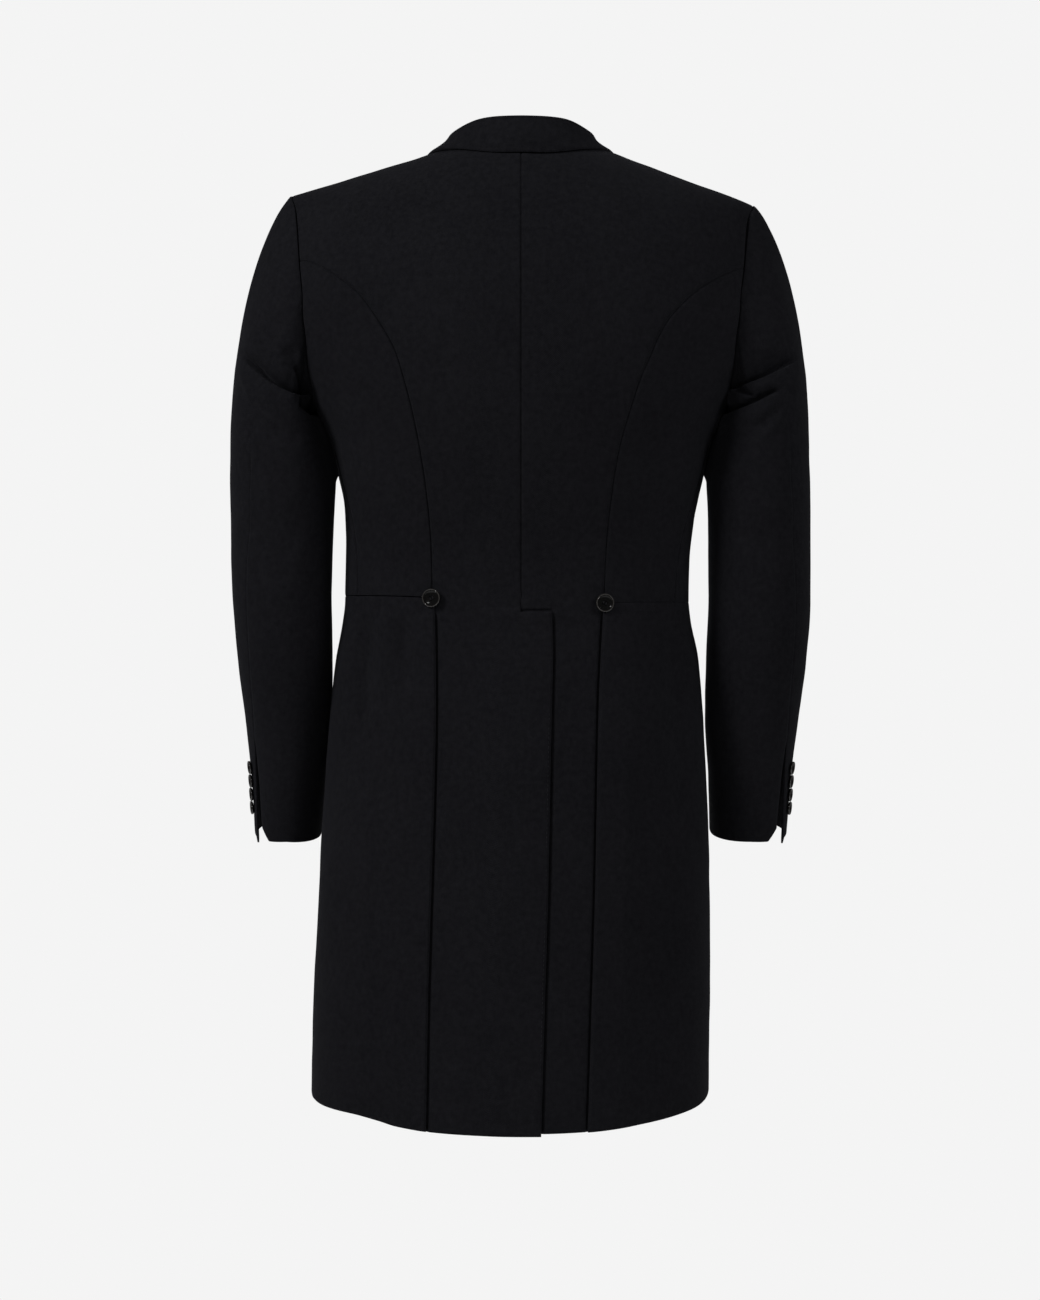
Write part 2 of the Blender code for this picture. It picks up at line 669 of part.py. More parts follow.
def side_seam(side, count):
    top = armhole(side, TURN_SIDE)
    z_low = smooth(WAIST, 1 if side > 0 else 2, 75)
    z = np.linspace(top[2], z_low, 24)
    line = on_side(side, smooth(SIDE, 1, z), z)
    line[0] = top
    return spaced(line, count)


def waist_line(side, start, end, count):
    """The waist seam between two points of it."""
    a = math.degrees(math.atan2(side * (start[0] - 0.004), start[1]))
    turns = np.linspace(a, end, count)
    return ring(side, turns, smooth(WAIST, 1 if side > 0 else 2, turns))


SIDE_COLUMNS = 8
SIDE_ROWS = BACK_ROWS_ABOVE - 4


def side_body(side):
    edge = curved_seam(side)
    seam = side_seam(side, SIDE_ROWS)
    top = spaced(armhole(side, np.linspace(TURN_CURVED, TURN_SIDE, 15)), SIDE_COLUMNS)
    end = math.degrees(math.atan2(side * (seam[-1][0] - 0.004), seam[-1][1]))
    bottom = waist_line(side, edge[-1], end, 15)
    bottom[0], bottom[-1] = edge[-1], seam[-1]
    grid = patch(spaced(edge, SIDE_ROWS), seam, top, spaced(bottom, SIDE_COLUMNS))
    grid, way = cloth(grid)
    return wall("side_body_" + side_name(side), grid, way)


FOREPART_COLUMNS = 12
ARM_ROWS = 9
SEAM_ROWS = 9


def front_lap(side, p):
    """The left front passes over the right one at the button."""
    if side < 0:
        return np.zeros(p.shape[:-1])
    x, z = p[..., 0], p[..., 2]
    return (
        LAP
        * ease((0.042 - x) / 0.024)
        * ease((-0.325 - z) / 0.03)
        * ease((z + 0.520) / 0.04)
        * (p[..., 1] < 0)
    )


def forepart(side):
    arm = spaced(armhole(side, np.linspace(360, TURN_SIDE, 40)), ARM_ROWS)
    edge = np.concatenate([arm, side_seam(side, SEAM_ROWS)[1:]])
    top = spaced(shoulder_line(side)[::-1], FOREPART_COLUMNS)
    z = np.concatenate([np.linspace(top[-1][2], -0.235, ARM_ROWS), np.linspace(-0.235, -0.449, SEAM_ROWS)[1:]])
    out = smooth(FRONT, 1, z)
    front = on_face(side * out, z, -1)
    front[0] = top[-1]
    seam = edge[-1]
    end = math.degrees(math.atan2(side * (front[-1][0] - 0.004), front[-1][1])) % 360
    bottom = waist_line(side, seam, end, 40)
    bottom[0], bottom[-1] = seam, front[-1]
    grid = onto(patch(edge, front, top, spaced(bottom, FOREPART_COLUMNS)))
    grid, way = cloth(grid, front_lap(side, grid))
    return wall("forepart_" + side_name(side), grid, way)


SKIRT_COLUMNS = 16
SKIRT_ROWS = BACK_ROWS_BELOW


def skirt(side):
    """A side skirt: from the pleat round to the cutaway edge, and from the waist seam to the hem."""
    column = 1 if side > 0 else 2
    top_z = curved_seam(side)[-1][2]
    share = np.linspace(0, 1, SKIRT_ROWS) ** 1.15
    z = top_z + (smooth(HEM, column, 35) - top_z) * share
    x = side * smooth(PLEAT, column, z)
    back_edge = on_face(x, z, 1)
    turn = np.degrees(np.arctan2(side * (back_edge[:, 0] - smooth(BODY, 1, z)), back_edge[:, 1]))
    left = np.stack([turn, z], axis=-1)
    edge_z = np.linspace(CUTAWAY[-1][0], CUTAWAY[0][0], 60)
    edge_turn = smooth(CUTAWAY, 1, edge_z)
    walk = spaced(ring(1, edge_turn, edge_z), SKIRT_ROWS)
    right_z = walk[:, 2]
    right = np.stack([smooth(CUTAWAY, 1, right_z), right_z], axis=-1)
    turns = np.linspace(left[0, 0], right[0, 0], 60)
    walk = spaced(ring(1, turns, smooth(WAIST, column, turns)), SKIRT_COLUMNS)
    top_turn = np.interp(
        np.linspace(0, 1, SKIRT_COLUMNS), np.linspace(0, 1, 60), turns
    )
    top = np.stack([top_turn, smooth(WAIST, column, top_turn)], axis=-1)
    low_turn = np.linspace(left[-1, 0], HEM[-1][0], SKIRT_COLUMNS)
    bottom = np.stack([low_turn, smooth(HEM, column, low_turn)], axis=-1)
    left[-1, 1] = bottom[0, 1]
    plan = patch(left, right, top, bottom)
    grid = ring(side, plan[..., 0], plan[..., 1])
    past = side * grid[..., 0] - smooth(PLEAT, column, grid[..., 2])
    raised = (LAP + 0.0008) * ease((0.052 - past) / 0.026) * ease((-0.4440 - grid[..., 2]) / 0.016)
    raised = raised * (grid[..., 1] > 0) + front_lap(side, grid)
    grid, way = cloth(grid, raised)
    return wall("skirt_" + side_name(side), grid, way)


def lapel(side):
    """The turned part of a forepart, lying on it from the gorge to the button."""
    count, across = 14, 7
    end = -0.4000 if side > 0 else -0.3680
    z = np.linspace(GORGE[0][1], end, count)
    roll = np.stack([smooth(FRONT, 1, z) + 0.0006, z], axis=-1)
    high, low = LAPEL[-1][0], LAPEL[0][0]
    outer_z = np.linspace(high, low, count)
    outer = np.stack([smooth(LAPEL, 1, outer_z), high + (outer_z - high) * (end - high) / (low - high)], -1)
    outer[:, 0] += (roll[-1, 0] - LAPEL[0][1]) * np.linspace(0, 1, count) ** 4
    top_x = np.linspace(roll[0, 0], outer[0, 0], across)
    top = np.stack([top_x, smooth(GORGE, 1, top_x)], -1)
    tip = np.stack([np.linspace(roll[-1, 0], outer[-1, 0] + 0.004, across), np.full(across, end)], -1)
    outer[-1] = tip[-1]
    roll[0], outer[0] = top[0], top[-1]
    plan = patch(roll, outer, top, tip)
    grid = on_face(side * plan[..., 0], plan[..., 1], -1)
    belly = 0.0022 * np.sin(np.linspace(0, math.pi, across))[None, :] * np.ones((count, 1))
    grid, way = cloth(grid, front_lap(side, grid) + LAP + 0.0003 + belly)
    return wall("lapel_" + side_name(side), grid, way, inset=0.0002)


def neck_edge(side, count):
    """The whole neck edge of one side: the back's, then the forepart's down to the gorge."""
    z = np.linspace(FRONT[-1][0], -0.0590, 16)
    front = on_face(side * smooth(FRONT, 1, z), z, -1)
    line = np.concatenate([neck_line(side), front[1:]])
    fine = onto(spaced(line, 60))
    return spaced(fine, count)


def collar_half(side, count):
    """The middle surface of half the collar, a row for each station from the centre back."""
    edge = neck_edge(side, count)
    way = unit(outward(edge))
    along = unit(np.gradient(edge, axis=0))
    away = np.cross(way, along) * side
    away = np.where(away[:, 2:] + 0 * away < 0, -away, away)
    share = np.linspace(0, 1, count)
    rows = []
    for k in range(count):
        columns = (1, 2, 3, 4, 5, 6 if side > 0 else 7)
        given = [float(smooth(COLLAR, c, share[k])) for c in columns]
        seam = edge[k] + away[k] * (GAP + WALL / 2 + 0.0005) + way[k] * 0.0004
        fold = edge[k] + np.array([side * given[0], given[1], given[2]])
        free = onto(np.array([side * given[3], given[4], given[5]]))
        up = unit(outward(free))
        free = free + up * (GAP + WALL / 2 + 0.0006)
        out = free - seam
        out = out - (out @ unit(fold - seam)) * unit(fold - seam)
        out = unit(out)
        top = unit(fold - seam)
        r = 0.0017
        centre = fold - r * top
        a, b = centre - r * out, centre + r * out
        line = [seam + (a - seam) * t for t in (0, 0.35, 0.7)]
        for angle in (180, 120, 60, 0):
            c, w = math.cos(math.radians(angle)), math.sin(math.radians(angle))
            line.append(centre + r * (c * out + w * top))
        for t in (0.3, 0.65, 1.0):
            line.append(b + (free - b) * t + 0.0028 * math.sin(math.pi * t) * out)
        for t in (7, 8):
            q = line[t]
            g = outward(q)
            clear = float(form(q) / np.linalg.norm(g))
            line[t] = q + unit(g) * max(0.0, GAP + WALL / 2 + 0.0006 - clear)
        rows.append(line)
    return np.array(rows)


def collar():
    """The collar in one piece: up the stand, over the fold and down the fall."""
    left, right = collar_half(1, 15), collar_half(-1, 15)
    grid = np.concatenate([right[:0:-1], left])
    along = np.gradient(grid, axis=0)
    across = np.gradient(grid, axis=1)
    way = unit(np.cross(along, across))
    middle = len(grid) // 2
    if way[middle, -2, 1] < 0:
        way = -way
    return wall("collar", grid, way, inset=0, middle=True)


def cap_point(side, turn, share):
    """A point of the sleeve's cap: from the armhole, out and over, down to its first section."""
    start = armhole(side, turn)
    start = start + unit(outward(start)) * (GAP + WALL / 2)
    end = sleeve_section(side, turn, np.full(np.shape(turn), SLEEVE_TOP))
    far = np.linalg.norm(end - start, axis=-1, keepdims=True)
    lead = np.stack(
        [side * smooth(CAP, 1, turn), smooth(CAP, 2, turn), -np.ones_like(turn)], axis=-1
    )
    one = start + unit(lead) * far * smooth(CAP, 3, turn)[..., None]
    two = end + np.array([0, 0, 1.0]) * far * smooth(CAP, 4, turn)[..., None]
    t = share[..., None]
    return (
        start * (1 - t) ** 3 + 3 * one * t * (1 - t) ** 2 + 3 * two * t * t * (1 - t) + end * t**3
    )


def sleeve_section(side, turn, z):
    """A point of a sleeve's middle surface; turn is 0 outside, 90 behind, 180 inside, 270 in front."""
    outer = smooth(SLEEVE, 1 if side > 0 else 3, z) - WALL / 2
    inner = smooth(SLEEVE, 2 if side > 0 else 4, z) + WALL / 2
    wide, deep = (outer - inner) / 2, smooth(SLEEVE, 5, z) - WALL / 2
    c, s = np.cos(np.radians(turn)), np.sin(np.radians(turn))
    r = (np.abs(c) / wide) ** SLEEVE_SQUARE + (np.abs(s) / deep) ** SLEEVE_SQUARE
    r = r ** (-1 / SLEEVE_SQUARE)
    x = (outer + inner) / 2 + r * c
    y = r * s
    lean = smooth(SLEEVE, 7, z)
    return np.stack([side * x, smooth(SLEEVE, 6, z) + y, z - lean * y - 0.5 * lean * r * c * 0.5], axis=-1)


CAP_ROWS = 16
SLEEVE_ROWS = 12
SLEEVE_COLUMNS = 9


def sleeve_point(side, turn, share):
    """A point of a sleeve's middle surface; share is 0 at the armhole, 1 under the cap, 2 at the hem."""
    turn, share = np.broadcast_arrays(np.asarray(turn, float), np.asarray(share, float))
    z = SLEEVE_TOP + (SLEEVE[0][0] - SLEEVE_TOP) * np.clip(share - 1, 0, 1)
    low = sleeve_section(side, turn, z)
    cap = cap_point(side, turn % 360, np.clip(share, 0, 1))
    return np.where((share <= 1)[..., None], cap, low)


def height(share):
    """About how high a sleeve row is, for the tables that are by height."""
    above = -0.15 + (SLEEVE_TOP + 0.15) * np.clip(share, 0, 1)
    return above + (SLEEVE[0][0] - SLEEVE_TOP) * np.clip(share - 1, 0, 1)


def hindarm(share):
    return smooth(HINDARM, 1, height(share))


def sleeve_piece(side, first, last, columns):
    """Points between two seams down the sleeve, and the way out of it."""
    share = np.concatenate([np.linspace(0, 1, CAP_ROWS), np.linspace(1, 2, SLEEVE_ROWS + 1)[1:]])
    share = share[:, None]
    turn = first(share) + (last - first(share)) * np.linspace(0, 1, columns)[None, :]
    share = share + 0 * turn
    grid = sleeve_point(side, turn, share)
    e = 0.004
    a = np.clip(share + e, 0, 2)
    b = np.clip(share - e, 0, 2)
    a = np.where((share <= 1) & (a > 1), share, a)
    b = np.where((share > 1) & (b <= 1), share, b)
    down = sleeve_point(side, turn, a) - sleeve_point(side, turn, b)
    across = sleeve_point(side, turn + 0.5, share) - sleeve_point(side, turn - 0.5, share)
    way = unit(np.cross(across, down)) * -side
    return grid + way * folds(SLEEVE_FOLDS, grid)[..., None], way


def top_sleeve(side):
    grid, way = sleeve_piece(side, hindarm, FOREARM_TURN - 360, SLEEVE_COLUMNS)
    grid[-1, 0] += unit(grid[-1, 0] - grid[-2, 0]) * 0.004
    return wall("top_sleeve_" + side_name(side), grid, way, middle=True)


def under_sleeve(side):
    grid, way = sleeve_piece(side, hindarm, FOREARM_TURN, SLEEVE_COLUMNS)
    grid[-1, 0] -= unit(grid[-1, 0] - grid[-2, 0]) * 0.009
    return wall("under_sleeve_" + side_name(side), grid, way, middle=True)


BUTTON_PROFILE = [
    # share_of_radius, share_of_thickness
    (0.00, 0.00),
    (0.80, 0.00),
    (1.00, 0.35),
    (1.00, 0.72),
    (0.90, 1.00),
    (0.72, 0.92),
    (0.58, 0.62),
    (0.00, 0.52),
]


def button(name, place, way, diameter, thick, sides=20):
    """A round button with a rim and a dished middle, its underside just clear of the cloth."""
    way = unit(np.asarray(way, float))
    one = unit(np.cross(way, [0, 0, 1.0]))
    two = np.cross(way, one)
    bm = bmesh.new()
    rings = []
    for wide, high in BUTTON_PROFILE:
        centre = np.asarray(place) + way * (GAP + high * thick)
        if wide == 0:
            rings.append([bm.verts.new(centre)])
            continue
        r = wide * diameter / 2
        rings.append(
            [
                bm.verts.new(centre + r * (math.cos(a) * one + math.sin(a) * two))
                for a in np.arange(sides) * 2 * math.pi / sides
            ]
        )
    for low, high in zip(rings[:-1], rings[1:]):
        for k in range(sides):
            n = (k + 1) % sides
            if len(low) == 1:
                bm.faces.new([low[0], high[n], high[k]])
            elif len(high) == 1:
                bm.faces.new([low[k], low[n], high[0]])
            else:
                bm.faces.new([low[k], low[n], high[n], high[k]])
    bmesh.ops.triangulate(bm, faces=[f for f in bm.faces if len(f.verts) > 3])
    return placed(name, bm, (0.010, 0.009, 0.009), 0.25)


def waist_button(side):
    place = curved_seam(side)[-1]
    place = on_face(place[0], place[2], 1)
    way = unit(outward(place))
    place = place + way * 0.0018
    return button("waist_button_" + side_name(side), place, way, WAIST_BUTTON, 0.0036)


def cuff_buttons(side):
    made = []
    for k in range(4):
        z = CUFF_BUTTON_Z - k * CUFF_BUTTON_STEP
        turn = float(smooth(HINDARM, 1, z)) - 15
        eps = 0.5
        p = sleeve_section(side, np.array(turn), np.array(z))
        a = sleeve_section(side, np.array(turn + eps), np.array(z))
        b = sleeve_section(side, np.array(turn), np.array(z - 0.002))
        way = unit(np.cross(b - p, a - p)) * side
        made.append(
            button(
                "cuff_button_%s_%d" % (side_name(side), k + 1),
                p + way * (WALL / 2 + 0.0004),
                way,
                CUFF_BUTTON,
                0.0030,
                12,
            )
        )
    return made


def front_button():
    place = on_face(0.0020, -0.4300, -1)
    way = unit(outward(place))
    return button("front_button", place + way * (LAP + 0.0003), way, FRONT_BUTTON, 0.0036)


def main():
    for o in list(bpy.data.objects):
        bpy.data.objects.remove(o, do_unlink=True)
    for side in (1, -1):
        back(side)
        side_body(side)
        forepart(side)
        lapel(side)
        skirt(side)
        top_sleeve(side)
        under_sleeve(side)
        waist_button(side)
        cuff_buttons(side)
    collar()
    front_button()
    total = 0
    for o in bpy.data.objects:
        total += len(o.data.polygons)
    print("pieces", len(bpy.data.objects), "triangles", total)


main()
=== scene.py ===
# %% [markdown]
# A morning coat, seen from behind.
# The coat is worn by nobody: it keeps the hollow form that a body would give it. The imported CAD
# model is the frame. Every cut piece of cloth is made again here as a finer sheet on the same
# form, with its seams, creases, weave and sewing, and stands for the plain wall of that name.

# %% Load the frame
import math

import bmesh
import bpy
import numpy as np
from mathutils import Matrix, Vector, kdtree, noise


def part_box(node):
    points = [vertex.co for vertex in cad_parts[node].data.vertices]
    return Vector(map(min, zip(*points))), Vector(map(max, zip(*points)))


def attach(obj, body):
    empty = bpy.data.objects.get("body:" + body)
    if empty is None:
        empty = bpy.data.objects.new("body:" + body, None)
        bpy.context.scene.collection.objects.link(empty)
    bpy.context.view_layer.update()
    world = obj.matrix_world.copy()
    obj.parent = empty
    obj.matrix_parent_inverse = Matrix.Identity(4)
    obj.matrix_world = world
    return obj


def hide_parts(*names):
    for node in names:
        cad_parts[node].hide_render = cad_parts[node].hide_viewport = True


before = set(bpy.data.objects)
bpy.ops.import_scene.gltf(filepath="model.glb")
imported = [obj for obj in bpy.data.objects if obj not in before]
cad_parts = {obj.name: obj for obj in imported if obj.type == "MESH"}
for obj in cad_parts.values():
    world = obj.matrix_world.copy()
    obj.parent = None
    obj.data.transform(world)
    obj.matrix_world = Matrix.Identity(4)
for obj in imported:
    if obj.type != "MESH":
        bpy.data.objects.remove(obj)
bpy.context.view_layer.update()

# %% [markdown]
# The photograph is taken level with the middle of the coat, straight from behind, from about
# four and a half metres. A long lens keeps the perspective as flat as it is there. The picture is
# 1.30 m high at the coat, so a pixel of the photograph is a millimetre.

# %% Camera
VIEW_HEIGHT = 1.30
VIEW_FROM = 4.5
VIEW_MIDDLE = (0.001, -0.493)  # across, and up
SENSOR = 24  # height of the camera's own picture, in millimetres


def add_object(name, data, finish=None):
    made = bpy.data.objects.new(name, data)
    bpy.context.scene.collection.objects.link(made)
    if finish:
        data.materials.append(finish)
    return made


camera = add_object("camera", bpy.data.cameras.new("camera"))
camera.location = (VIEW_MIDDLE[0], VIEW_FROM, VIEW_MIDDLE[1])
camera.rotation_euler = (math.pi / 2, 0, math.pi)
camera.data.sensor_fit = "VERTICAL"
camera.data.sensor_height = SENSOR
camera.data.lens = SENSOR * VIEW_FROM / VIEW_HEIGHT
camera.data.clip_end = 50
bpy.context.scene.camera = camera
bpy.context.scene.view_settings.view_transform = "Standard"
print("lens", round(camera.data.lens, 1))

# %% [markdown]
# Shader maths reads best as sums. This class wraps one socket, so that 1 - mask or wave * 0.3
# adds the Math nodes that it needs, and its node method adds any other node.


# %% A socket that can be added and multiplied
class Thread:
    """One value that runs through a material's nodes."""

    def __init__(self, tree, socket=None):
        self.tree, self.socket = tree, socket

    def node(self, kind, settings=None, values=None, out=0):
        """Any node, with its settings, then the values or links of its sockets."""
        made = self.tree.nodes.new(kind)
        for key, value in (settings or {}).items():
            setattr(made, key, value)
        for key, value in (values or {}).items():
            if isinstance(value, Thread):
                self.tree.links.new(value.socket, made.inputs[key])
            else:
                made.inputs[key].default_value = value
        return Thread(self.tree, made.outputs[out])

    def maths(self, operation, first, second):
        return self.node("ShaderNodeMath", {"operation": operation}, {0: first, 1: second})

    def __add__(self, other):
        return self.maths("ADD", self, other)

    def __radd__(self, other):
        return self.maths("ADD", other, self)

    def __sub__(self, other):
        return self.maths("SUBTRACT", self, other)

    def __rsub__(self, other):
        return self.maths("SUBTRACT", other, self)

    def __mul__(self, other):
        return self.maths("MULTIPLY", self, other)

    def __rmul__(self, other):
        return self.maths("MULTIPLY", other, self)

    def wave(self):
        return self.maths("SINE", self, 0)

    def grain(self, place, scale, detail):
        """Noise over a place, which can be a stretched one."""
        values = {"Vector": place, "Scale": scale, "Detail": detail}
        return self.node("ShaderNodeTexNoise", {}, values)

    def stretched(self, place, scale):
        return self.node("ShaderNodeMapping", {}, {"Vector": place, "Scale": scale})

    def mix(self, dark, light):
        """From one colour to another as this value goes from 0 to 1."""
        return self.node(
            "ShaderNodeMix",
            {"data_type": "RGBA"},
            {0: self, 6: (*dark, 1), 7: (*light, 1)},
            2,
        )


def new_finish(name, **constants):
    """A material, its shader, and a thread to start from; constants are set on the sockets."""
    made = bpy.data.materials.new(name)
    made.use_nodes = True
    shader = made.node_tree.nodes["Principled BSDF"]
    for key, value in constants.items():
        shader.inputs[key.replace("_", " ")].default_value = value
    return made, shader, Thread(made.node_tree)


def feed(thread, shader, socket):
    thread.tree.links.new(thread.socket, shader.inputs[socket])


def emboss(height, shader, strength, distance):
    """The small relief of a surface."""
    values = {"Height": height, "Strength": strength, "Distance": distance}
    feed(height.node("ShaderNodeBump", {}, values), shader, "Normal")


print("shader maths is ready")

# %% [markdown]
# A studio for a black coat. Everything around it is pale, but a surround as bright as it looks
# would light the cloth from all sides and take its form away. So the surround is bright where the
# camera sees it and dimmer where it lights the cloth. A large soft lamp at the photograph's left
# gives the form, and three others keep the rest from going dead. Only the lamp above the camera
# shows in polished things, so a button has one clear highlight, as in the photograph.

# %% Floor, surround and lamps
PALE = 0.905  # the photograph's background, as a linear value
DIMMED = 0.15  # how much of it lights the cloth
FLOOR_Z = -1.45
FLOOR_RADIUS = 1.9
LAMP_AIM = (0, 0, -0.45)
LAMPS = [
    # name, place, size, watts, mirrored in polished things
    ("key", (2.4, 1.5, 1.2), 1.0, 84, False),
    ("fill", (-2.2, 1.5, 1.2), 1.2, 42, False),
    ("camera_side", (0.7, 3.6, 1.3), 0.45, 17, True),
    ("front", (0.9, -3.4, 0.2), 1.8, 80, False),
]


def grown(name, bm):
    """The mesh that a bmesh has grown into."""
    mesh = bpy.data.meshes.new(name)
    bm.to_mesh(mesh)
    bm.free()
    return mesh


disc = bmesh.new()
bmesh.ops.create_circle(disc, cap_ends=True, segments=96, radius=FLOOR_RADIUS)
bmesh.ops.translate(disc, verts=disc.verts, vec=(0, 0, FLOOR_Z))
floor_finish = new_finish("floor", Base_Color=(0.8, 0.8, 0.8, 1), Roughness=0.9)[0]
add_object("floor", grown("floor", disc), floor_finish)

world = bpy.data.worlds.new("surround")
bpy.context.scene.world = world
world.use_nodes = True
surround = world.node_tree.nodes["Background"]
surround.inputs["Color"].default_value = (PALE, PALE, PALE, 1)
seen = Thread(world.node_tree).node("ShaderNodeLightPath")
feed(seen * (1 - DIMMED) + DIMMED, surround, "Strength")

for name, place, size, watts, mirrored in LAMPS:
    light = bpy.data.lights.new(name, "AREA")
    light.shape = "DISK"
    light.size = size
    light.energy = watts
    lamp = add_object(name, light)
    lamp.location = place
    aim = Vector(LAMP_AIM) - Vector(place)
    lamp.rotation_euler = aim.to_track_quat("-Z", "Y").to_euler()
    lamp.visible_glossy = mirrored
print("lamps", len(bpy.data.lights))

# %% [markdown]
# The cloth is a fine black worsted in a close twill, with hardly any nap. A twill's ribs climb
# across the yarns, so two crossed waves and a diagonal one make its relief, in the sheet's own
# UV map, which is in metres along and across the cut. The eye sees black wool as a very dark
# blue-grey that is never quite even, so slow noise stirs the colour. Wool has no hard shine, only
# the faint glow of its fibres at the edges, which is what sheen is for.

# %% Finish of the cloth
YARN = 0.00052  # from one yarn to the next
RIB = 0.00125  # from one twill rib to the next, across
RIB_LEAN = 0.55  # how much of it a rib moves on along the cut
CLOTH_DARK = (0.0044, 0.0044, 0.0054)
CLOTH_LIGHT = (0.0092, 0.0092, 0.0108)


def cloth_finish():
    made, shader, start = new_finish(
        "black_worsted",
        Specular_IOR_Level=0.03,
        Sheen_Weight=0.016,
        Sheen_Roughness=0.45,
        Sheen_Tint=(0.86, 0.88, 1.0, 1),
    )
    weave = start.node("ShaderNodeUVMap", {"uv_map": "weave"})
    across = start.node("ShaderNodeSeparateXYZ", values={0: weave}, out=0)
    along = start.node("ShaderNodeSeparateXYZ", values={0: weave}, out=1)
    warp = (across * (2 * math.pi / YARN)).wave()
    weft = (along * (2 * math.pi / YARN)).wave()
    rib = ((across + along * RIB_LEAN) * (2 * math.pi / RIB)).wave()
    place = start.node("ShaderNodeTexCoord", out=3)
    slow = start.grain(place, 9.0, 3.0)
    mottle = start.grain(place, 210.0, 3.0)
    fleck = start.grain(place, 900.0, 2.0)
    slub = start.grain(start.stretched(weave, (1600.0, 60.0, 1.0)), 1.0, 2.0)
    tone = (slow - 0.5) * 0.6 + (mottle - 0.5) * 1.3 + (fleck - 0.5) * 1.2 + (slub - 0.5) * 0.5
    tone = tone + rib * 0.10 + 0.5
    feed(tone.mix(CLOTH_DARK, CLOTH_LIGHT), shader, "Base Color")
    feed((fleck - 0.5) * 0.2 + 0.76, shader, "Roughness")
    relief = rib * 0.55 + warp * weft * 0.3 + (slub - 0.5) * 0.5 + (fleck - 0.5) * 0.5
    emboss(relief, shader, 0.30, 0.00018)
    return made


CLOTH = cloth_finish()
print("finish", CLOTH.name)

# %% [markdown]
# The buttons are black and polished, of horn or a resin that looks like it. Polish means low
# roughness and a clear coat. Fingers and buttonholes polish the raised rim most, so an attribute
# that is 1 on the rim drives the coat and the polish. The same attribute makes the rim's colour
# lighter, which is a painted highlight of the bright ring round the rim. The dish stays dark. Real
# horn also has faint long streaks.

# %% Finish of the buttons and of the thread
HORN_DARK = (0.0012, 0.0011, 0.0011)
# the rim's lighter colour: a painted highlight
HORN_RIM_HIGHLIGHT = (0.0300, 0.0280, 0.0260)
THREAD_DARK = (0.003, 0.003, 0.004)
THREAD_LIGHT = (0.016, 0.016, 0.019)


def button_finish():
    made, shader, start = new_finish("black_horn", Specular_IOR_Level=0.25, Coat_Roughness=0.07)
    rim = start.node("ShaderNodeAttribute", {"attribute_name": "rim"}, out=2)
    place = start.node("ShaderNodeTexCoord", out=3)
    streak = start.grain(start.stretched(place, (500.0, 500.0, 90.0)), 1.0, 4.0)
    dull = start.grain(place, 400.0, 3.0)
    # the rim's colour is made lighter, a painted highlight; the faint streaks are the horn's own
    feed((streak * 0.06 + rim * 0.7).mix(HORN_DARK, HORN_RIM_HIGHLIGHT), shader, "Base Color")
    feed(dull * 0.10 + 0.10 - rim * 0.02, shader, "Roughness")
    feed(rim * 0.9, shader, "Coat Weight")
    emboss(streak, shader, 0.1, 0.00005)
    return made


def thread_finish():
    made, shader, start = new_finish("black_thread", Specular_IOR_Level=0.3)
    twist = start.grain(start.node("ShaderNodeTexCoord", out=3), 2500.0, 2.0)
    feed(twist.mix(THREAD_DARK, THREAD_LIGHT), shader, "Base Color")
    feed(twist * 0.3 + 0.4, shader, "Roughness")
    emboss(twist, shader, 0.4, 0.0001)
    return made


HORN = button_finish()
THREAD = thread_finish()
print("finishes", HORN.name, THREAD.name)

# %% [markdown]
# The coat's shape is the shape of the body in it. It is one formula: level rings, each a rounded
# oblong with its own width and depth, that close over towards the shoulders. The tables are the
# ones that the solids are made from, so the sheets lie where the solids lie. A column of a table
# is read as a smooth curve that never swings past its own rows.

# %% The body's form
CLOTH_THICK = 0.0018
GAP = 0.0003
LAP = CLOTH_THICK + GAP  # how far a lapped piece stands off the piece under it
SHOULDER_DROP = 0.15  # the height over which the body closes
SHOULDER_SEAM_Y = -0.008
STEP_Z = -0.4555  # hook at the top of the centre vent
SMALL = 1e-5  # step for slopes
FARTHEST = 0.008  # that a point moves at once on its way to the form
BOTH = (1, -1)  # the wearer's left side, then the right one

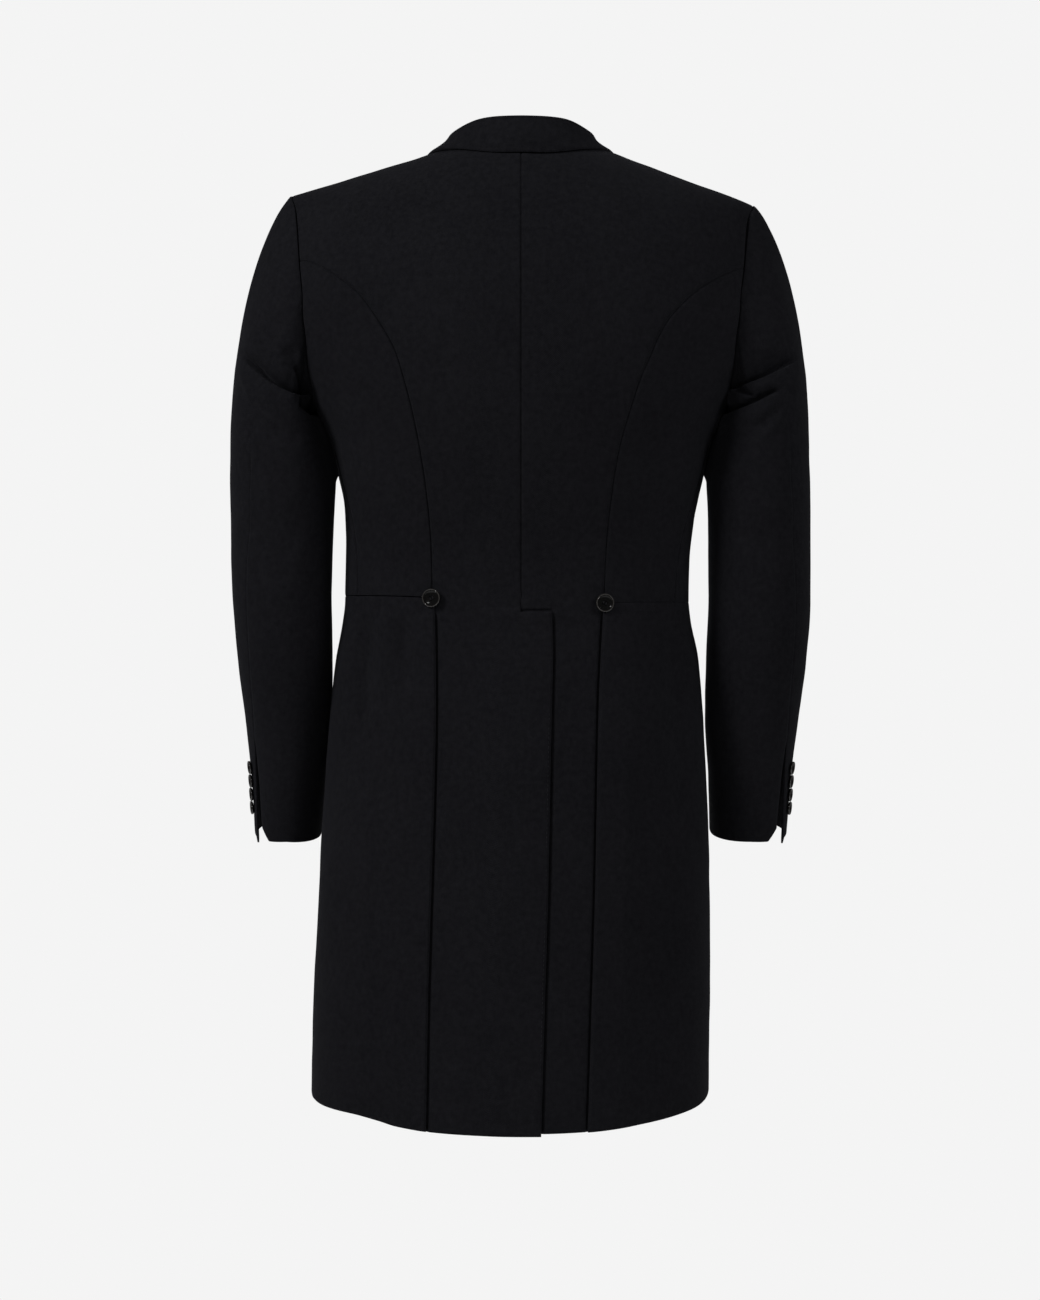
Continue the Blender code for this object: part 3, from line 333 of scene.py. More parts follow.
MIDDLE, HALF_WIDTH, BEHIND, IN_FRONT, SQUARE = range(1, 6)  # columns of the next table
BODY = [
    # z, middle, half_width, behind, in_front, square
    (-0.990, 0.0110, 0.1985, 0.1200, 0.1200, 2.2),
    (-0.930, 0.0105, 0.1985, 0.1200, 0.1200, 2.2),
    (-0.843, 0.0090, 0.1980, 0.1190, 0.1190, 2.2),
    (-0.743, 0.0068, 0.1955, 0.1170, 0.1180, 2.2),
    (-0.683, 0.0060, 0.1940, 0.1150, 0.1180, 2.2),
    (-0.620, 0.0052, 0.1905, 0.1110, 0.1170, 2.2),
    (-0.560, 0.0048, 0.1865, 0.1060, 0.1160, 2.2),
    (-0.503, 0.0040, 0.1810, 0.0995, 0.1140, 2.25),
    (-0.463, 0.0040, 0.1735, 0.0955, 0.1120, 2.3),
    (-0.443, 0.0040, 0.1715, 0.0955, 0.1110, 2.3),
    (-0.403, 0.0030, 0.1715, 0.0975, 0.1100, 2.3),
    (-0.363, 0.0010, 0.1740, 0.1040, 0.1110, 2.35),
    (-0.343, 0.0000, 0.1770, 0.1080, 0.1125, 2.4),
    (-0.323, 0.0000, 0.1815, 0.1120, 0.1150, 2.4),
    (-0.289, 0.0000, 0.1895, 0.1200, 0.1190, 2.4),
    (-0.254, 0.0000, 0.2057, 0.1270, 0.1230, 2.4),
    (-0.235, 0.0000, 0.2135, 0.1290, 0.1240, 2.4),
    (-0.210, 0.0000, 0.2235, 0.1300, 0.1240, 2.4),
    (-0.180, 0.0000, 0.2310, 0.1305, 0.1220, 2.4),
    (-0.150, 0.0000, 0.2350, 0.1290, 0.1180, 2.4),
    (-0.100, 0.0000, 0.2360, 0.1240, 0.1080, 2.4),
    (-0.050, 0.0000, 0.2360, 0.1150, 0.0960, 2.4),
    (0.030, 0.0000, 0.2360, 0.1000, 0.0850, 2.4),
]
RIDGE = [
    # out, left, right
    (0.000, 0.0200, 0.0200),
    (0.055, 0.0140, 0.0140),
    (0.084, 0.0050, 0.0055),
    (0.096, 0.0010, 0.0015),
    (0.111, -0.0045, -0.0045),
    (0.132, -0.0110, -0.0120),
    (0.172, -0.0230, -0.0265),
    (0.212, -0.0350, -0.0410),
    (0.228, -0.0395, -0.0475),
    (0.260, -0.0490, -0.0600),
]


def smooth(rows, column, at):
    """A column of a table as a smooth function of its first column."""
    data = np.array(rows, float)
    data = data[np.argsort(data[:, 0])]
    xs, ys = data[:, 0], data[:, column]
    at = np.clip(np.asarray(at, float), xs[0], xs[-1])
    step = np.diff(xs)
    slope = np.diff(ys) / step
    both, total = slope[:-1] * slope[1:], slope[:-1] + slope[1:]
    inner = np.where(both > 0, 2 * both / np.where(both > 0, total, 1), 0)
    lean = np.concatenate([slope[:1], inner, slope[-1:]])
    i = np.clip(np.searchsorted(xs, at, side="right") - 1, 0, len(xs) - 2)
    t = (at - xs[i]) / step[i]
    ends = ys[i] * (1 + 2 * t) * (1 - t) ** 2 + ys[i + 1] * t * t * (3 - 2 * t)
    return ends + step[i] * (lean[i] * t * (1 - t) ** 2 - lean[i + 1] * t * t * (1 - t))


def ease(t):
    """Zero below 0, one above 1, and a soft step between."""
    t = np.clip(t, 0, 1)
    return t * t * (3 - 2 * t)


def bell(off, width):
    """One where off is zero, and softly down to nothing about two widths away."""
    return np.exp(-((off / width) ** 2))


def sinks_past(value, start, over):
    """Zero above the start, and one where the value is lower than it by over."""
    return ease((start - value) / over)


def climbs_past(value, start, over):
    return ease((value - start) / over)


def unit(v):
    return v / np.maximum(np.linalg.norm(v, axis=-1, keepdims=True), 1e-12)


def ridge(x):
    return np.where(x >= 0, smooth(RIDGE, 1, np.abs(x)), smooth(RIDGE, 2, np.abs(x)))


def closing(x, z):
    """How much of its full depth, to the ring's power, the body has near the shoulder ridge."""
    down = (ridge(x) - z) / SHOULDER_DROP
    return np.where(down < 0, 2 * down, 1 - np.clip(1 - down, 0, 1) ** 2)


def depth(y, z):
    return np.where(y > 0, smooth(BODY, BEHIND, z), smooth(BODY, IN_FRONT, z))


def form(p):
    """Zero on the outer face of the body's cloth, below zero inside it and above outside."""
    x, y, z = p[..., 0] - smooth(BODY, MIDDLE, p[..., 2]), p[..., 1], p[..., 2]
    power = smooth(BODY, SQUARE, z)
    across = (np.abs(x) / smooth(BODY, HALF_WIDTH, z)) ** power
    return (np.abs(y) / depth(y, z)) ** power - (1 - across) * closing(x, z)


def outward(p):
    step = np.eye(3) * SMALL
    return np.stack([(form(p + d) - form(p - d)) / (2 * SMALL) for d in step], axis=-1)


def onto(p, rounds=14):
    """Points moved straight out or in until they lie on the body's form."""
    p = np.array(p, float)
    for _ in range(rounds):
        g = outward(p)
        move = -g * (form(p) / np.maximum((g * g).sum(-1), 1e-6))[..., None]
        far = np.maximum(np.linalg.norm(move, axis=-1, keepdims=True), 1e-12)
        p = p + move * np.minimum(1, FARTHEST / far)
    return p


print("width at the waist", round(2 * float(smooth(BODY, HALF_WIDTH, -0.44)), 3))

# %% [markdown]
# A tailor places a line on the body by its height and how far out it is. These helpers turn such
# a pair into a point of the form: on its back or front face, on the shoulder, on its side, or on
# a level ring by how far round it is, with 0 behind, 90 at the side and 180 in front.


# %% Places on the form
def on_face(x, z, face):
    x, z = np.broadcast_arrays(np.asarray(x, float), np.asarray(z, float))
    out = x - smooth(BODY, MIDDLE, z)
    power = smooth(BODY, SQUARE, z)
    left = (1 - (np.abs(out) / smooth(BODY, HALF_WIDTH, z)) ** power) * closing(out, z)
    y = face * depth(face, z) * np.clip(left, 0, None) ** (1 / power)
    return np.stack([x, y, z], axis=-1)


def on_top(x, y):
    x, y = np.broadcast_arrays(np.asarray(x, float), np.asarray(y, float))
    z = ridge(x)
    for _ in range(6):
        power = smooth(BODY, SQUARE, z)
        across = (np.abs(x) / smooth(BODY, HALF_WIDTH, z)) ** power
        part = np.clip((np.abs(y) / depth(y, z)) ** power / (1 - across), 0, 1)
        z = ridge(x) - (1 - np.sqrt(1 - part)) * SHOULDER_DROP
    return np.stack([x, y, z], axis=-1)


def on_side(side, y, z):
    y, z = np.broadcast_arrays(np.asarray(y, float), np.asarray(z, float))
    power = smooth(BODY, SQUARE, z)
    out = smooth(BODY, HALF_WIDTH, z) * (1 - (np.abs(y) / depth(y, z)) ** power) ** (1 / power)
    return np.stack([smooth(BODY, MIDDLE, z) + side * out, y, z], axis=-1)


def ring(side, turn, z):
    turn, z = np.broadcast_arrays(np.radians(turn), np.asarray(z, float))
    power = smooth(BODY, SQUARE, z)
    s, c = np.sin(turn), np.cos(turn)
    r = (np.abs(s) / smooth(BODY, HALF_WIDTH, z)) ** power + (np.abs(c) / depth(c, z)) ** power
    r = r ** (-1 / power)
    return np.stack([smooth(BODY, MIDDLE, z) + side * r * s, r * c, z], axis=-1)


def spaced(points, count):
    """The same line again with its points evenly spaced along it."""
    points = np.asarray(points, float)
    gone = np.concatenate([[0], np.cumsum(np.linalg.norm(np.diff(points, axis=0), axis=1))])
    at = np.linspace(0, gone[-1], count)
    return np.stack([np.interp(at, gone, points[:, k]) for k in range(3)], axis=-1)


def patch(left, right, top, bottom):
    """A grid between four edges: left and right run down, top and bottom from left to right."""
    v = np.linspace(0, 1, len(left))[:, None, None]
    u = np.linspace(0, 1, len(top))[None, :, None]
    sides = (1 - u) * left[:, None] + u * right[:, None]
    ends = (1 - v) * top[None] + v * bottom[None]
    corners = (1 - v) * ((1 - u) * top[0] + u * top[-1])
    return sides + ends - corners - v * ((1 - u) * bottom[0] + u * bottom[-1])


print("a point of the back", on_face(0.1, -0.3, 1).round(3))

# %% [markdown]
# The seams are the drawing of this coat. Two curved ones run from the armholes to the waist
# buttons, a straight one runs down the middle of the back and ends in the hook of the vent, and
# below the waist buttons the side pleats run to the hem. Each is a short table, in metres.

# %% The seam lines
ARMHOLE = [
    # turn, left, right, y, z_left, z_right
    (0, 0.2265, 0.2305, -0.008, -0.0400, -0.0490),
    (20, 0.2245, 0.2285, 0.020, -0.0520, -0.0600),
    (38, 0.2225, 0.2272, 0.036, -0.0730, -0.0800),
    (58, 0.2195, 0.2240, 0.051, -0.1090, -0.1148),
    (80, 0.2165, 0.2200, 0.062, -0.1500, -0.1500),
    (97, 0.2150, 0.2160, 0.062, -0.1800, -0.1800),
    (117, 0.2120, 0.2120, 0.053, -0.2120, -0.2120),
    (138, 0.2080, 0.2080, 0.038, -0.2380, -0.2380),
    (160, 0.2050, 0.2050, 0.018, -0.2550, -0.2550),
    (180, 0.2050, 0.2050, -0.004, -0.2560, -0.2560),
    (200, 0.2055, 0.2055, -0.026, -0.2500, -0.2500),
    (222, 0.2055, 0.2055, -0.047, -0.2320, -0.2320),
    (245, 0.2045, 0.2045, -0.064, -0.2000, -0.2000),
    (268, 0.2050, 0.2050, -0.070, -0.1650, -0.1650),
    (290, 0.2080, 0.2080, -0.064, -0.1300, -0.1300),
    (312, 0.2130, 0.2140, -0.051, -0.0960, -0.0980),
    (335, 0.2200, 0.2220, -0.033, -0.0650, -0.0700),
    (360, 0.2265, 0.2305, -0.008, -0.0400, -0.0490),
]
TURN_CURVED = 58  # where the curved seam meets the armhole
TURN_SIDE = 160  # where the side seam meets it
CURVED = [
    # left, z_left, right, z_right
    (0.2195, -0.1090, 0.2240, -0.1148),
    (0.2116, -0.1093, 0.2096, -0.1194),
    (0.1943, -0.1172, 0.1921, -0.1284),
    (0.1770, -0.1292, 0.1743, -0.1400),
    (0.1589, -0.1447, 0.1568, -0.1559),
    (0.1459, -0.1620, 0.1439, -0.1710),
    (0.1330, -0.1819, 0.1330, -0.1899),
    (0.1222, -0.2027, 0.1247, -0.2097),
    (0.1123, -0.2352, 0.1162, -0.2289),
    (0.1054, -0.2627, 0.1064, -0.2588),
    (0.0986, -0.2977, 0.0957, -0.2977),
    (0.0929, -0.3366, 0.0880, -0.3463),
    (0.0891, -0.3755, 0.0833, -0.3950),
    (0.0871, -0.4420, 0.0814, -0.4468),
]
SIDE = [
    # z, y
    (-0.4480, 0.046),
    (-0.3760, 0.042),
    (-0.3350, 0.034),
    (-0.2885, 0.026),
    (-0.2550, 0.018),
]
WAIST = [
    # turn, left, right
    (30, -0.4420, -0.4468),
    (75, -0.4385, -0.4452),
    (110, -0.4400, -0.4455),
    (186, -0.4490, -0.4490),
]
FRONT = [
    # z, out
    (-0.4490, -0.0120),
    (-0.4250, -0.0145),
    (-0.4000, -0.0060),
    (-0.3500, 0.0075),
    (-0.2500, 0.0302),
    (-0.1500, 0.0530),
    (-0.0600, 0.0735),
    (-0.0400, 0.0775),
    (-0.0200, 0.0810),
    (0.0035, 0.0840),
]
NECK = [
    # out, z
    (0.000, 0.0080),
    (0.030, 0.0085),
    (0.055, 0.0090),
    (0.070, 0.0080),
    (0.080, 0.0060),
]


def column(side, first=1):
    """Which column of a table holds the wearer's left or right side."""
    return first if side > 0 else first + 1


def side_name(side):
    return "left" if side > 0 else "right"


def armhole(side, turn):
    turn = np.asarray(turn, float) % 360
    out, z = smooth(ARMHOLE, column(side), turn), smooth(ARMHOLE, column(side, 4), turn)
    return onto(np.stack([side * out, smooth(ARMHOLE, 3, turn), z], axis=-1))


def through(points, times):
    """A soft line through points, with more points between them."""
    at = np.arange(len(points))
    fine = np.linspace(0, len(points) - 1, (len(points) - 1) * times + 1)
    inner = np.gradient(points, axis=0)
    i = np.minimum(fine.astype(int), len(points) - 2)
    t = (fine - at[i])[:, None]
    a, b, u, w = points[i], points[i + 1], inner[i], inner[i + 1]
    return (
        a * (1 + 2 * t) * (1 - t) ** 2 + b * t * t * (3 - 2 * t)
        + u * t * (1 - t) ** 2 - w * t * t * (1 - t)
    )


def curved_seam(side):
    first = 0 if side > 0 else 2
    line = np.array([(side * row[first], row[first + 1]) for row in CURVED])
    points = on_face(line[:, 0], line[:, 1], 1)
    points[0] = armhole(side, TURN_CURVED)
    return onto(through(points, 10))


def side_seam(side, count):
    top = armhole(side, TURN_SIDE)
    low = float(smooth(WAIST, column(side), 75))
    foot = on_side(side, smooth(SIDE, 1, low), low)
    low = float(smooth(WAIST, column(side), turn_of(side, foot)))
    z = np.linspace(top[2], low, 60)
    line = on_side(side, smooth(SIDE, 1, z), z)
    line[0] = top
    return spaced(line, count)


SEAM_CLOSE = 0.0002  # the upper pieces reach this far past the waist seam, to leave no slit
WAIST_MIDDLE = 0.004


def turn_of(side, point):
    """How far round the waist a point is, in degrees."""
    return math.degrees(math.atan2(side * (point[0] - WAIST_MIDDLE), point[1])) % 360


def waist_line(side, start, end, count):
    """The waist seam between two of its points."""
    turns = np.linspace(turn_of(side, start), turn_of(side, end), 160)
    line = ring(side, turns, smooth(WAIST, column(side), turns) - SEAM_CLOSE)
    line[0], line[-1] = start, end
    return spaced(line, count)


def neck_line(side):
    out = np.array([row[0] for row in NECK])
    points = on_face(side * out, [row[1] for row in NECK], 1)
    end = on_top(side * FRONT[-1][1], SHOULDER_SEAM_Y)
    return onto(through(np.concatenate([points, end[None]]), 8))


def shoulder_line(side):
    tip = armhole(side, 0)
    line = on_top(side * np.linspace(FRONT[-1][1], abs(tip[0]), 60), SHOULDER_SEAM_Y)
    line[-1] = tip
    return line


print("curved seam ends", curved_seam(1)[-1].round(4), curved_seam(-1)[-1].round(4))

# %% [markdown]
# Wool cloth creases where it is pushed together and pulls where it is held. Under the armpits the
# sleeves buckle in a few deep, uneven troughs that run down and in towards the body. Below the
# waist seam the skirts fall from soft short folds. Cloth simulation would wander off the
# photograph, so each crease is listed one by one: a line, how wide, and how deep.

# %% The creases
SLEEVE_CREASES = [
    # side, face, half_width, height, then the line's points: out, z
    (
        1, 1, 0.0150, -0.0030,
        (0.2760, -0.1900), (0.2600, -0.2120), (0.2334, -0.2300), (0.2057, -0.2340),
    ),
    (1, 1, 0.0100, 0.0016, (0.2780, -0.2180), (0.2680, -0.2370), (0.2450, -0.2500)),
    (1, 1, 0.0028, 0.0013, (0.2790, -0.2060), (0.2720, -0.2260), (0.2650, -0.2470)),
    (1, 1, 0.0080, -0.0025, (0.2300, -0.1930), (0.2150, -0.2180)),
    (1, 1, 0.0045, -0.0016, (0.2370, -0.1980), (0.2200, -0.2055)),
    (1, 1, 0.0040, -0.0013, (0.2360, -0.2100), (0.2190, -0.2160)),
    (1, 1, 0.0050, -0.0110, (0.2180, -0.2480), (0.2010, -0.2570)),
    (1, 1, 0.0090, 0.0016, (0.2500, -0.2140), (0.2280, -0.2260)),
    (1, 1, 0.0110, -0.0015, (0.2500, -0.2760), (0.2150, -0.2860)),
    (1, 1, 0.0250, -0.0030, (0.2750, -0.3600), (0.2150, -0.3900)),
    (1, 1, 0.0140, 0.0012, (0.2600, -0.3350), (0.2250, -0.3560)),
    (1, 1, 0.0160, -0.0010, (0.2450, -0.5300), (0.2050, -0.5600)),
    (-1, 1, 0.0120, -0.0024, (0.2740, -0.1980), (0.2463, -0.2150), (0.2117, -0.2260)),
    (-1, 1, 0.0080, -0.0012, (0.2600, -0.2330), (0.2315, -0.2477), (0.2050, -0.2600)),
    (-1, 1, 0.0085, 0.0022, (0.2600, -0.2230), (0.2300, -0.2370)),
    (-1, 1, 0.0120, 0.0026, (0.2780, -0.2250), (0.2540, -0.2520), (0.2350, -0.2700)),
    (-1, 1, 0.0080, -0.0014, (0.2540, -0.2050), (0.2120, -0.2040)),
    (-1, 1, 0.0070, -0.0012, (0.2300, -0.2660), (0.2160, -0.2900)),
    (-1, 1, 0.0055, -0.0034, (0.2580, -0.2480), (0.2460, -0.2620), (0.2330, -0.2760)),
    (-1, 1, 0.0070, 0.0014, (0.2520, -0.2690), (0.2370, -0.2840)),
    (-1, 1, 0.0250, -0.0025, (0.2750, -0.3700), (0.2200, -0.3950)),
    (-1, 1, 0.0150, 0.0011, (0.2650, -0.3420), (0.2300, -0.3620)),
    (-1, 1, 0.0160, -0.0010, (0.2450, -0.5400), (0.2050, -0.5650)),
    (1, -1, 0.0140, -0.0055, (0.2800, -0.1850), (0.2500, -0.2180), (0.2200, -0.2450)),
    (1, -1, 0.0160, -0.0060, (0.2750, -0.3300), (0.2100, -0.3450)),
    (1, -1, 0.0060, -0.0020, (0.2650, -0.3330), (0.2250, -0.3430)),
    (1, -1, 0.0140, -0.0045, (0.2650, -0.3750), (0.2050, -0.3700)),
    (1, -1, 0.0130, 0.0020, (0.2650, -0.3520), (0.2150, -0.3580)),
    (1, -1, 0.0120, -0.0022, (0.2600, -0.4150), (0.2150, -0.4050)),
    (-1, -1, 0.0130, -0.0050, (0.2780, -0.1950), (0.2500, -0.2180), (0.2180, -0.2380)),
    (-1, -1, 0.0170, -0.0060, (0.2800, -0.3450), (0.2050, -0.3500)),
    (-1, -1, 0.0060, -0.0018, (0.2650, -0.3470), (0.2200, -0.3500)),
    (-1, -1, 0.0130, -0.0040, (0.2600, -0.3900), (0.2000, -0.3800)),
    (-1, -1, 0.0120, 0.0020, (0.2650, -0.3680), (0.2150, -0.3650)),
]
BODY_CREASES = [
    # side, face, half_width, height, then the line's points: out, z
    (1, 1, 0.0090, -0.0062, (0.1520, -0.4560), (0.1580, -0.5700)),
    (1, 1, 0.0085, 0.0056, (0.1350, -0.4580), (0.1340, -0.5400)),
    (1, 1, 0.0085, -0.0048, (0.1180, -0.4600), (0.1130, -0.5300)),
    (-1, 1, 0.0140, -0.0048, (0.1520, -0.4560), (0.1620, -0.6600)),
    (-1, 1, 0.0140, 0.0020, (0.1250, -0.4600), (0.1300, -0.5600)),
    (1, 1, 0.0160, -0.0040, (0.2000, -0.1600), (0.1750, -0.2600)),
    (-1, 1, 0.0160, -0.0040, (0.1980, -0.1650), (0.1750, -0.2600)),
    (1, 1, 0.0080, -0.0010, (0.1900, -0.2250), (0.1650, -0.3000)),
    (-1, 1, 0.0080, -0.0010, (0.1900, -0.2300), (0.1660, -0.3000)),
    (1, 1, 0.0160, -0.0009, (0.1400, -0.3350), (0.1250, -0.4200)),
    (-1, 1, 0.0160, -0.0009, (0.1350, -0.3400), (0.1200, -0.4250)),
    (1, 1, 0.0200, 0.0014, (0.1450, -0.6000), (0.1500, -0.9300)),
    (-1, 1, 0.0200, -0.0012, (0.1350, -0.6500), (0.1400, -0.9400)),
    (1, -1, 0.0100, -0.0022, (0.0250, -0.4280), (0.0700, -0.4020), (0.1100, -0.3900)),
    (1, -1, 0.0080, -0.0015, (0.0250, -0.4400), (0.0800, -0.4380)),
    (-1, -1, 0.0100, -0.0020, (0.0250, -0.4280), (0.0750, -0.4050), (0.1150, -0.3950)),
    (-1, -1, 0.0080, -0.0014, (0.0250, -0.4420), (0.0850, -0.4420)),
    (1, -1, 0.0160, -0.0035, (0.1950, -0.1700), (0.1650, -0.2700)),
    (-1, -1, 0.0160, -0.0035, (0.1930, -0.1750), (0.1650, -0.2700)),
    (1, -1, 0.0180, 0.0018, (0.1400, -0.4700), (0.1550, -0.6800)),
    (-1, -1, 0.0180, 0.0018, (0.1350, -0.4700), (0.1500, -0.6600)),
]
CREASE_END = 0.35  # the share of a crease over which it runs out
FACE_SOFT = 0.02  # how soon a crease fades in from the side of the body


def beside_line(line, p):
    """How far each point is from a line, which way, and how far along it, from 0 to 1."""
    steps = np.linalg.norm(np.diff(line, axis=0), axis=1)
    gone = np.concatenate([[0], np.cumsum(steps)])
    near, along = np.full(p.shape[:-1], 9.0), np.zeros(p.shape[:-1])
    which = np.zeros((*p.shape[:-1], 2))
    for k, (a, b) in enumerate(zip(line[:-1], line[1:])):
        q = p[..., [0, 2]] - a
        t = np.clip((q @ (b - a)) / steps[k] ** 2, 0, 1)
        off = q - t[..., None] * (b - a)
        far = np.linalg.norm(off, axis=-1)
        along = np.where(far < near, (gone[k] + t * steps[k]) / gone[-1], along)
        which = np.where((far < near)[..., None], off, which)
        near = np.minimum(far, near)
    return near, which, along


def on_the_face(face, p):
    """One on the face that a crease is on, and softly zero round the side."""
    return ease(face * p[..., 1] / FACE_SOFT)


def creases(rows, p):
    """How far the creases raise the cloth at each point."""
    total = np.zeros(p.shape[:-1])
    for side, face, half_width, height, *line in rows:
        near, _, along = beside_line(np.array(line) * [side, 1], p)
        ends = ease(np.minimum(along, 1 - along) / CREASE_END + CREASE_END)
        total += height * bell(near, half_width) * ends * on_the_face(face, p)
    return total


print("creases", len(SLEEVE_CREASES) + len(BODY_CREASES))

# %% [markdown]
# The deepest folds under the armpits are tucks, not troughs. The cloth above slopes in towards the
# line, turns away from the light and goes dark, and the cloth below comes up over it in a sharp
# step that catches the light. A height alone can't lap over, so a tuck also moves that step up.

# %% The tucks
TUCKS = [
    # side, face, reach, depth, lip, over, then the line's points, from its soft end: out, z
    (
        1, 1, 0.0150, 0.0140, 0.0022, 0.0046,
        (0.2763, -0.1970), (0.2674, -0.2128), (0.2526, -0.2266),
        (0.2329, -0.2374), (0.2181, -0.2424), (0.2030, -0.2414),
    ),
    (1, 1, 0.0055, 0.0100, 0.0004, 0.0008, (0.2220, -0.2130), (0.2160, -0.2260), (0.2085, -0.2400)),
    (
        -1, 1, 0.0150, 0.0118, 0.0022, 0.0042,
        (0.2740, -0.2010), (0.2640, -0.2120), (0.2457, -0.2217),
        (0.2250, -0.2300), (0.2050, -0.2350),
    ),
    (
        -1, 1, 0.0070, 0.0080, 0.0024, 0.0030,
        (0.2560, -0.2350), (0.2330, -0.2475), (0.2040, -0.2590),
    ),
    (
        -1, 1, 0.0060, 0.0070, 0.0010, 0.0012,
        (0.2330, -0.2420), (0.2200, -0.2400), (0.2050, -0.2360),
    ),
    (
        1, -1, 0.0160, 0.0050, 0.0018, 0.0018,
        (0.2700, -0.1980), (0.2450, -0.2230), (0.2040, -0.2440),
    ),
    (
        -1, -1, 0.0150, 0.0046, 0.0016, 0.0016,
        (0.2680, -0.2060), (0.2430, -0.2230), (0.2040, -0.2400),
    ),
]
FLOOR_HALF = 0.0018  # half the width of a tuck's floor
STEEP = 0.0036  # how wide the steeper part above the line is
SOFT_SHARE, STEEP_SHARE = 0.45, 0.55  # of the depth above the line
LIP_AT, LIP_WIDE = 0.008, 0.009  # where the cloth below stands proud
OVER_AT, OVER_WIDE = 0.0040, 0.0030  # where it comes up over the line


def tucks(rows, p, way):
    """How far the tucks move each point: in or out, and up over themselves."""
    moved = np.zeros(p.shape)
    for side, face, reach, depth, lip, over, *line in rows:
        near, which, along = beside_line(through(np.array(line) * [side, 1], 6), p)
        here = ease(along / 0.30 + 0.10) * on_the_face(face, p)
        floor = bell(near, FLOOR_HALF)
        slope = SOFT_SHARE * bell(near, reach) + STEEP_SHARE * bell(near, STEEP)
        below = -depth * floor + lip * bell(near - LIP_AT, LIP_WIDE) * (1 - floor)
        height = np.where(which[..., 1] > 0, -depth * slope, below) * here
        up = np.stack([which[..., 0], 0 * near, which[..., 1]], -1) * np.sign(which[..., 1:])
        up = unit(up - (up * way).sum(-1, keepdims=True) * way)
        lapped = over * bell(near - OVER_AT, OVER_WIDE) * (1 - floor) * (which[..., 1] < 0)
        moved += height[..., None] * way + (lapped * here)[..., None] * up
    return moved


print("tucks", len(TUCKS))

# %% [markdown]
# Every piece is a sheet: a grid of quads whose points are moved to the form, a little closer
# together next to its edges, so that the cloth can roll over into the seam. A sewn seam in wool is
# a fine groove, with the cloth beside it very slightly drawn up by the stitches. The groove and
# these puckers follow the distance to the nearest edge, which a k-d tree finds.

# %% A sheet of cloth
CELL = 0.0042  # size of a quad
CLOSE = (0.08, 0.19, 0.36, 0.66)  # extra rows beside an edge, as shares of a cell
GROOVE = 0.0015  # how deep the cloth rolls into a seam
GROOVE_WIDE = 0.00095
PUCKER = 0.00032
PUCKER_WIDE = 0.011
PUCKER_FROM = 0.003  # puckers start this far from the edge
PUCKER_RATE = 75.0  # bumps and hollows along a metre of seam
EDGE_STEP = 0.0005  # from one point of an edge to the next, where distances are taken
WAVE, WAVE_ACROSS, WAVE_DOWN = 0.0011, 16, 5  # slow waves, drawn out downwards
RIPPLE, RIPPLE_RATE = 0.00035, 42
ENDS = [0, -1]
WAIST_SEAM = (-0.4405, -0.4460)  # height of the waist seam, left and right
WAIST_FLAT = 0.86  # how much flatter than the others it is pressed
made_sheets = {}


def count_for(line):
    """How many points a line needs for quads of the usual size."""
    return max(6, int(round(np.linalg.norm(np.diff(line, axis=0), axis=1).sum() / CELL)) + 1)


def even(line):
    return spaced(line, count_for(line))


def joined(first, second):
    """Two lines that share a point, as one."""
    return np.concatenate([first, second[1:]])


def whole(grid):
    """All the cells of a grid are kept."""
    return np.ones((grid.shape[0] - 1, grid.shape[1] - 1), bool)


def closer(grid, keep, rows, columns):
    """The grid with extra rows and columns beside the given ones."""
    for axis, marks in ((0, rows), (1, columns)):
        size = grid.shape[axis]
        at = set(range(size))
        for mark in marks:
            mark = mark % size
            for share in CLOSE:
                at |= {x for x in (mark + share, mark - share) if 0 < x < size - 1}
        at = np.array(sorted(at))
        low = np.minimum(at.astype(int), size - 2)
        part = (at - low).reshape((-1, 1, 1) if axis == 0 else (1, -1, 1))
        grid = np.take(grid, low, axis) * (1 - part) + np.take(grid, low + 1, axis) * part
        middle = ((at[:-1] + at[1:]) / 2).astype(int)
        keep = np.take(keep, middle, axis)
    return grid, keep


def edge_points(points, keep):
    """Points along every edge of the kept cells, about half a millimetre apart."""
    used = np.pad(keep, 1)
    found = []
    for axis in (0, 1):
        line = used[:, 1:-1] if axis == 0 else used[1:-1]
        border = line[1:] != line[:-1] if axis == 0 else line[:, 1:] != line[:, :-1]
        for i, j in zip(*np.nonzero(border)):
            a = points[i, j]
            b = points[i, j + 1] if axis == 0 else points[i + 1, j]
            n = max(2, int(np.linalg.norm(b - a) / EDGE_STEP))
            found.append(a + (b - a) * (np.arange(n) / n)[:, None])
    return np.concatenate(found)


def sewn(points, keep, groove=GROOVE):
    """How far the cloth stands off its form because of its edges: grooves and puckers."""
    edges = edge_points(points, keep)
    groove = np.broadcast_to(groove, points.shape[:-1])
    tree = kdtree.KDTree(len(edges))
    for k, p in enumerate(edges):
        tree.insert(p, k)
    tree.balance()
    rise = np.zeros(points.shape[:-1])
    for place in np.ndindex(rise.shape):
        near, _, far = tree.find(points[place])
        rise[place] = -groove[place] * math.exp(-((far / GROOVE_WIDE) ** 2))
        if far < 3 * PUCKER_WIDE:
            drawn = math.exp(-far / PUCKER_WIDE) * (1 - math.exp(-((far / PUCKER_FROM) ** 2)))
            rise[place] += PUCKER * drawn * noise.noise(near * PUCKER_RATE)
    return rise


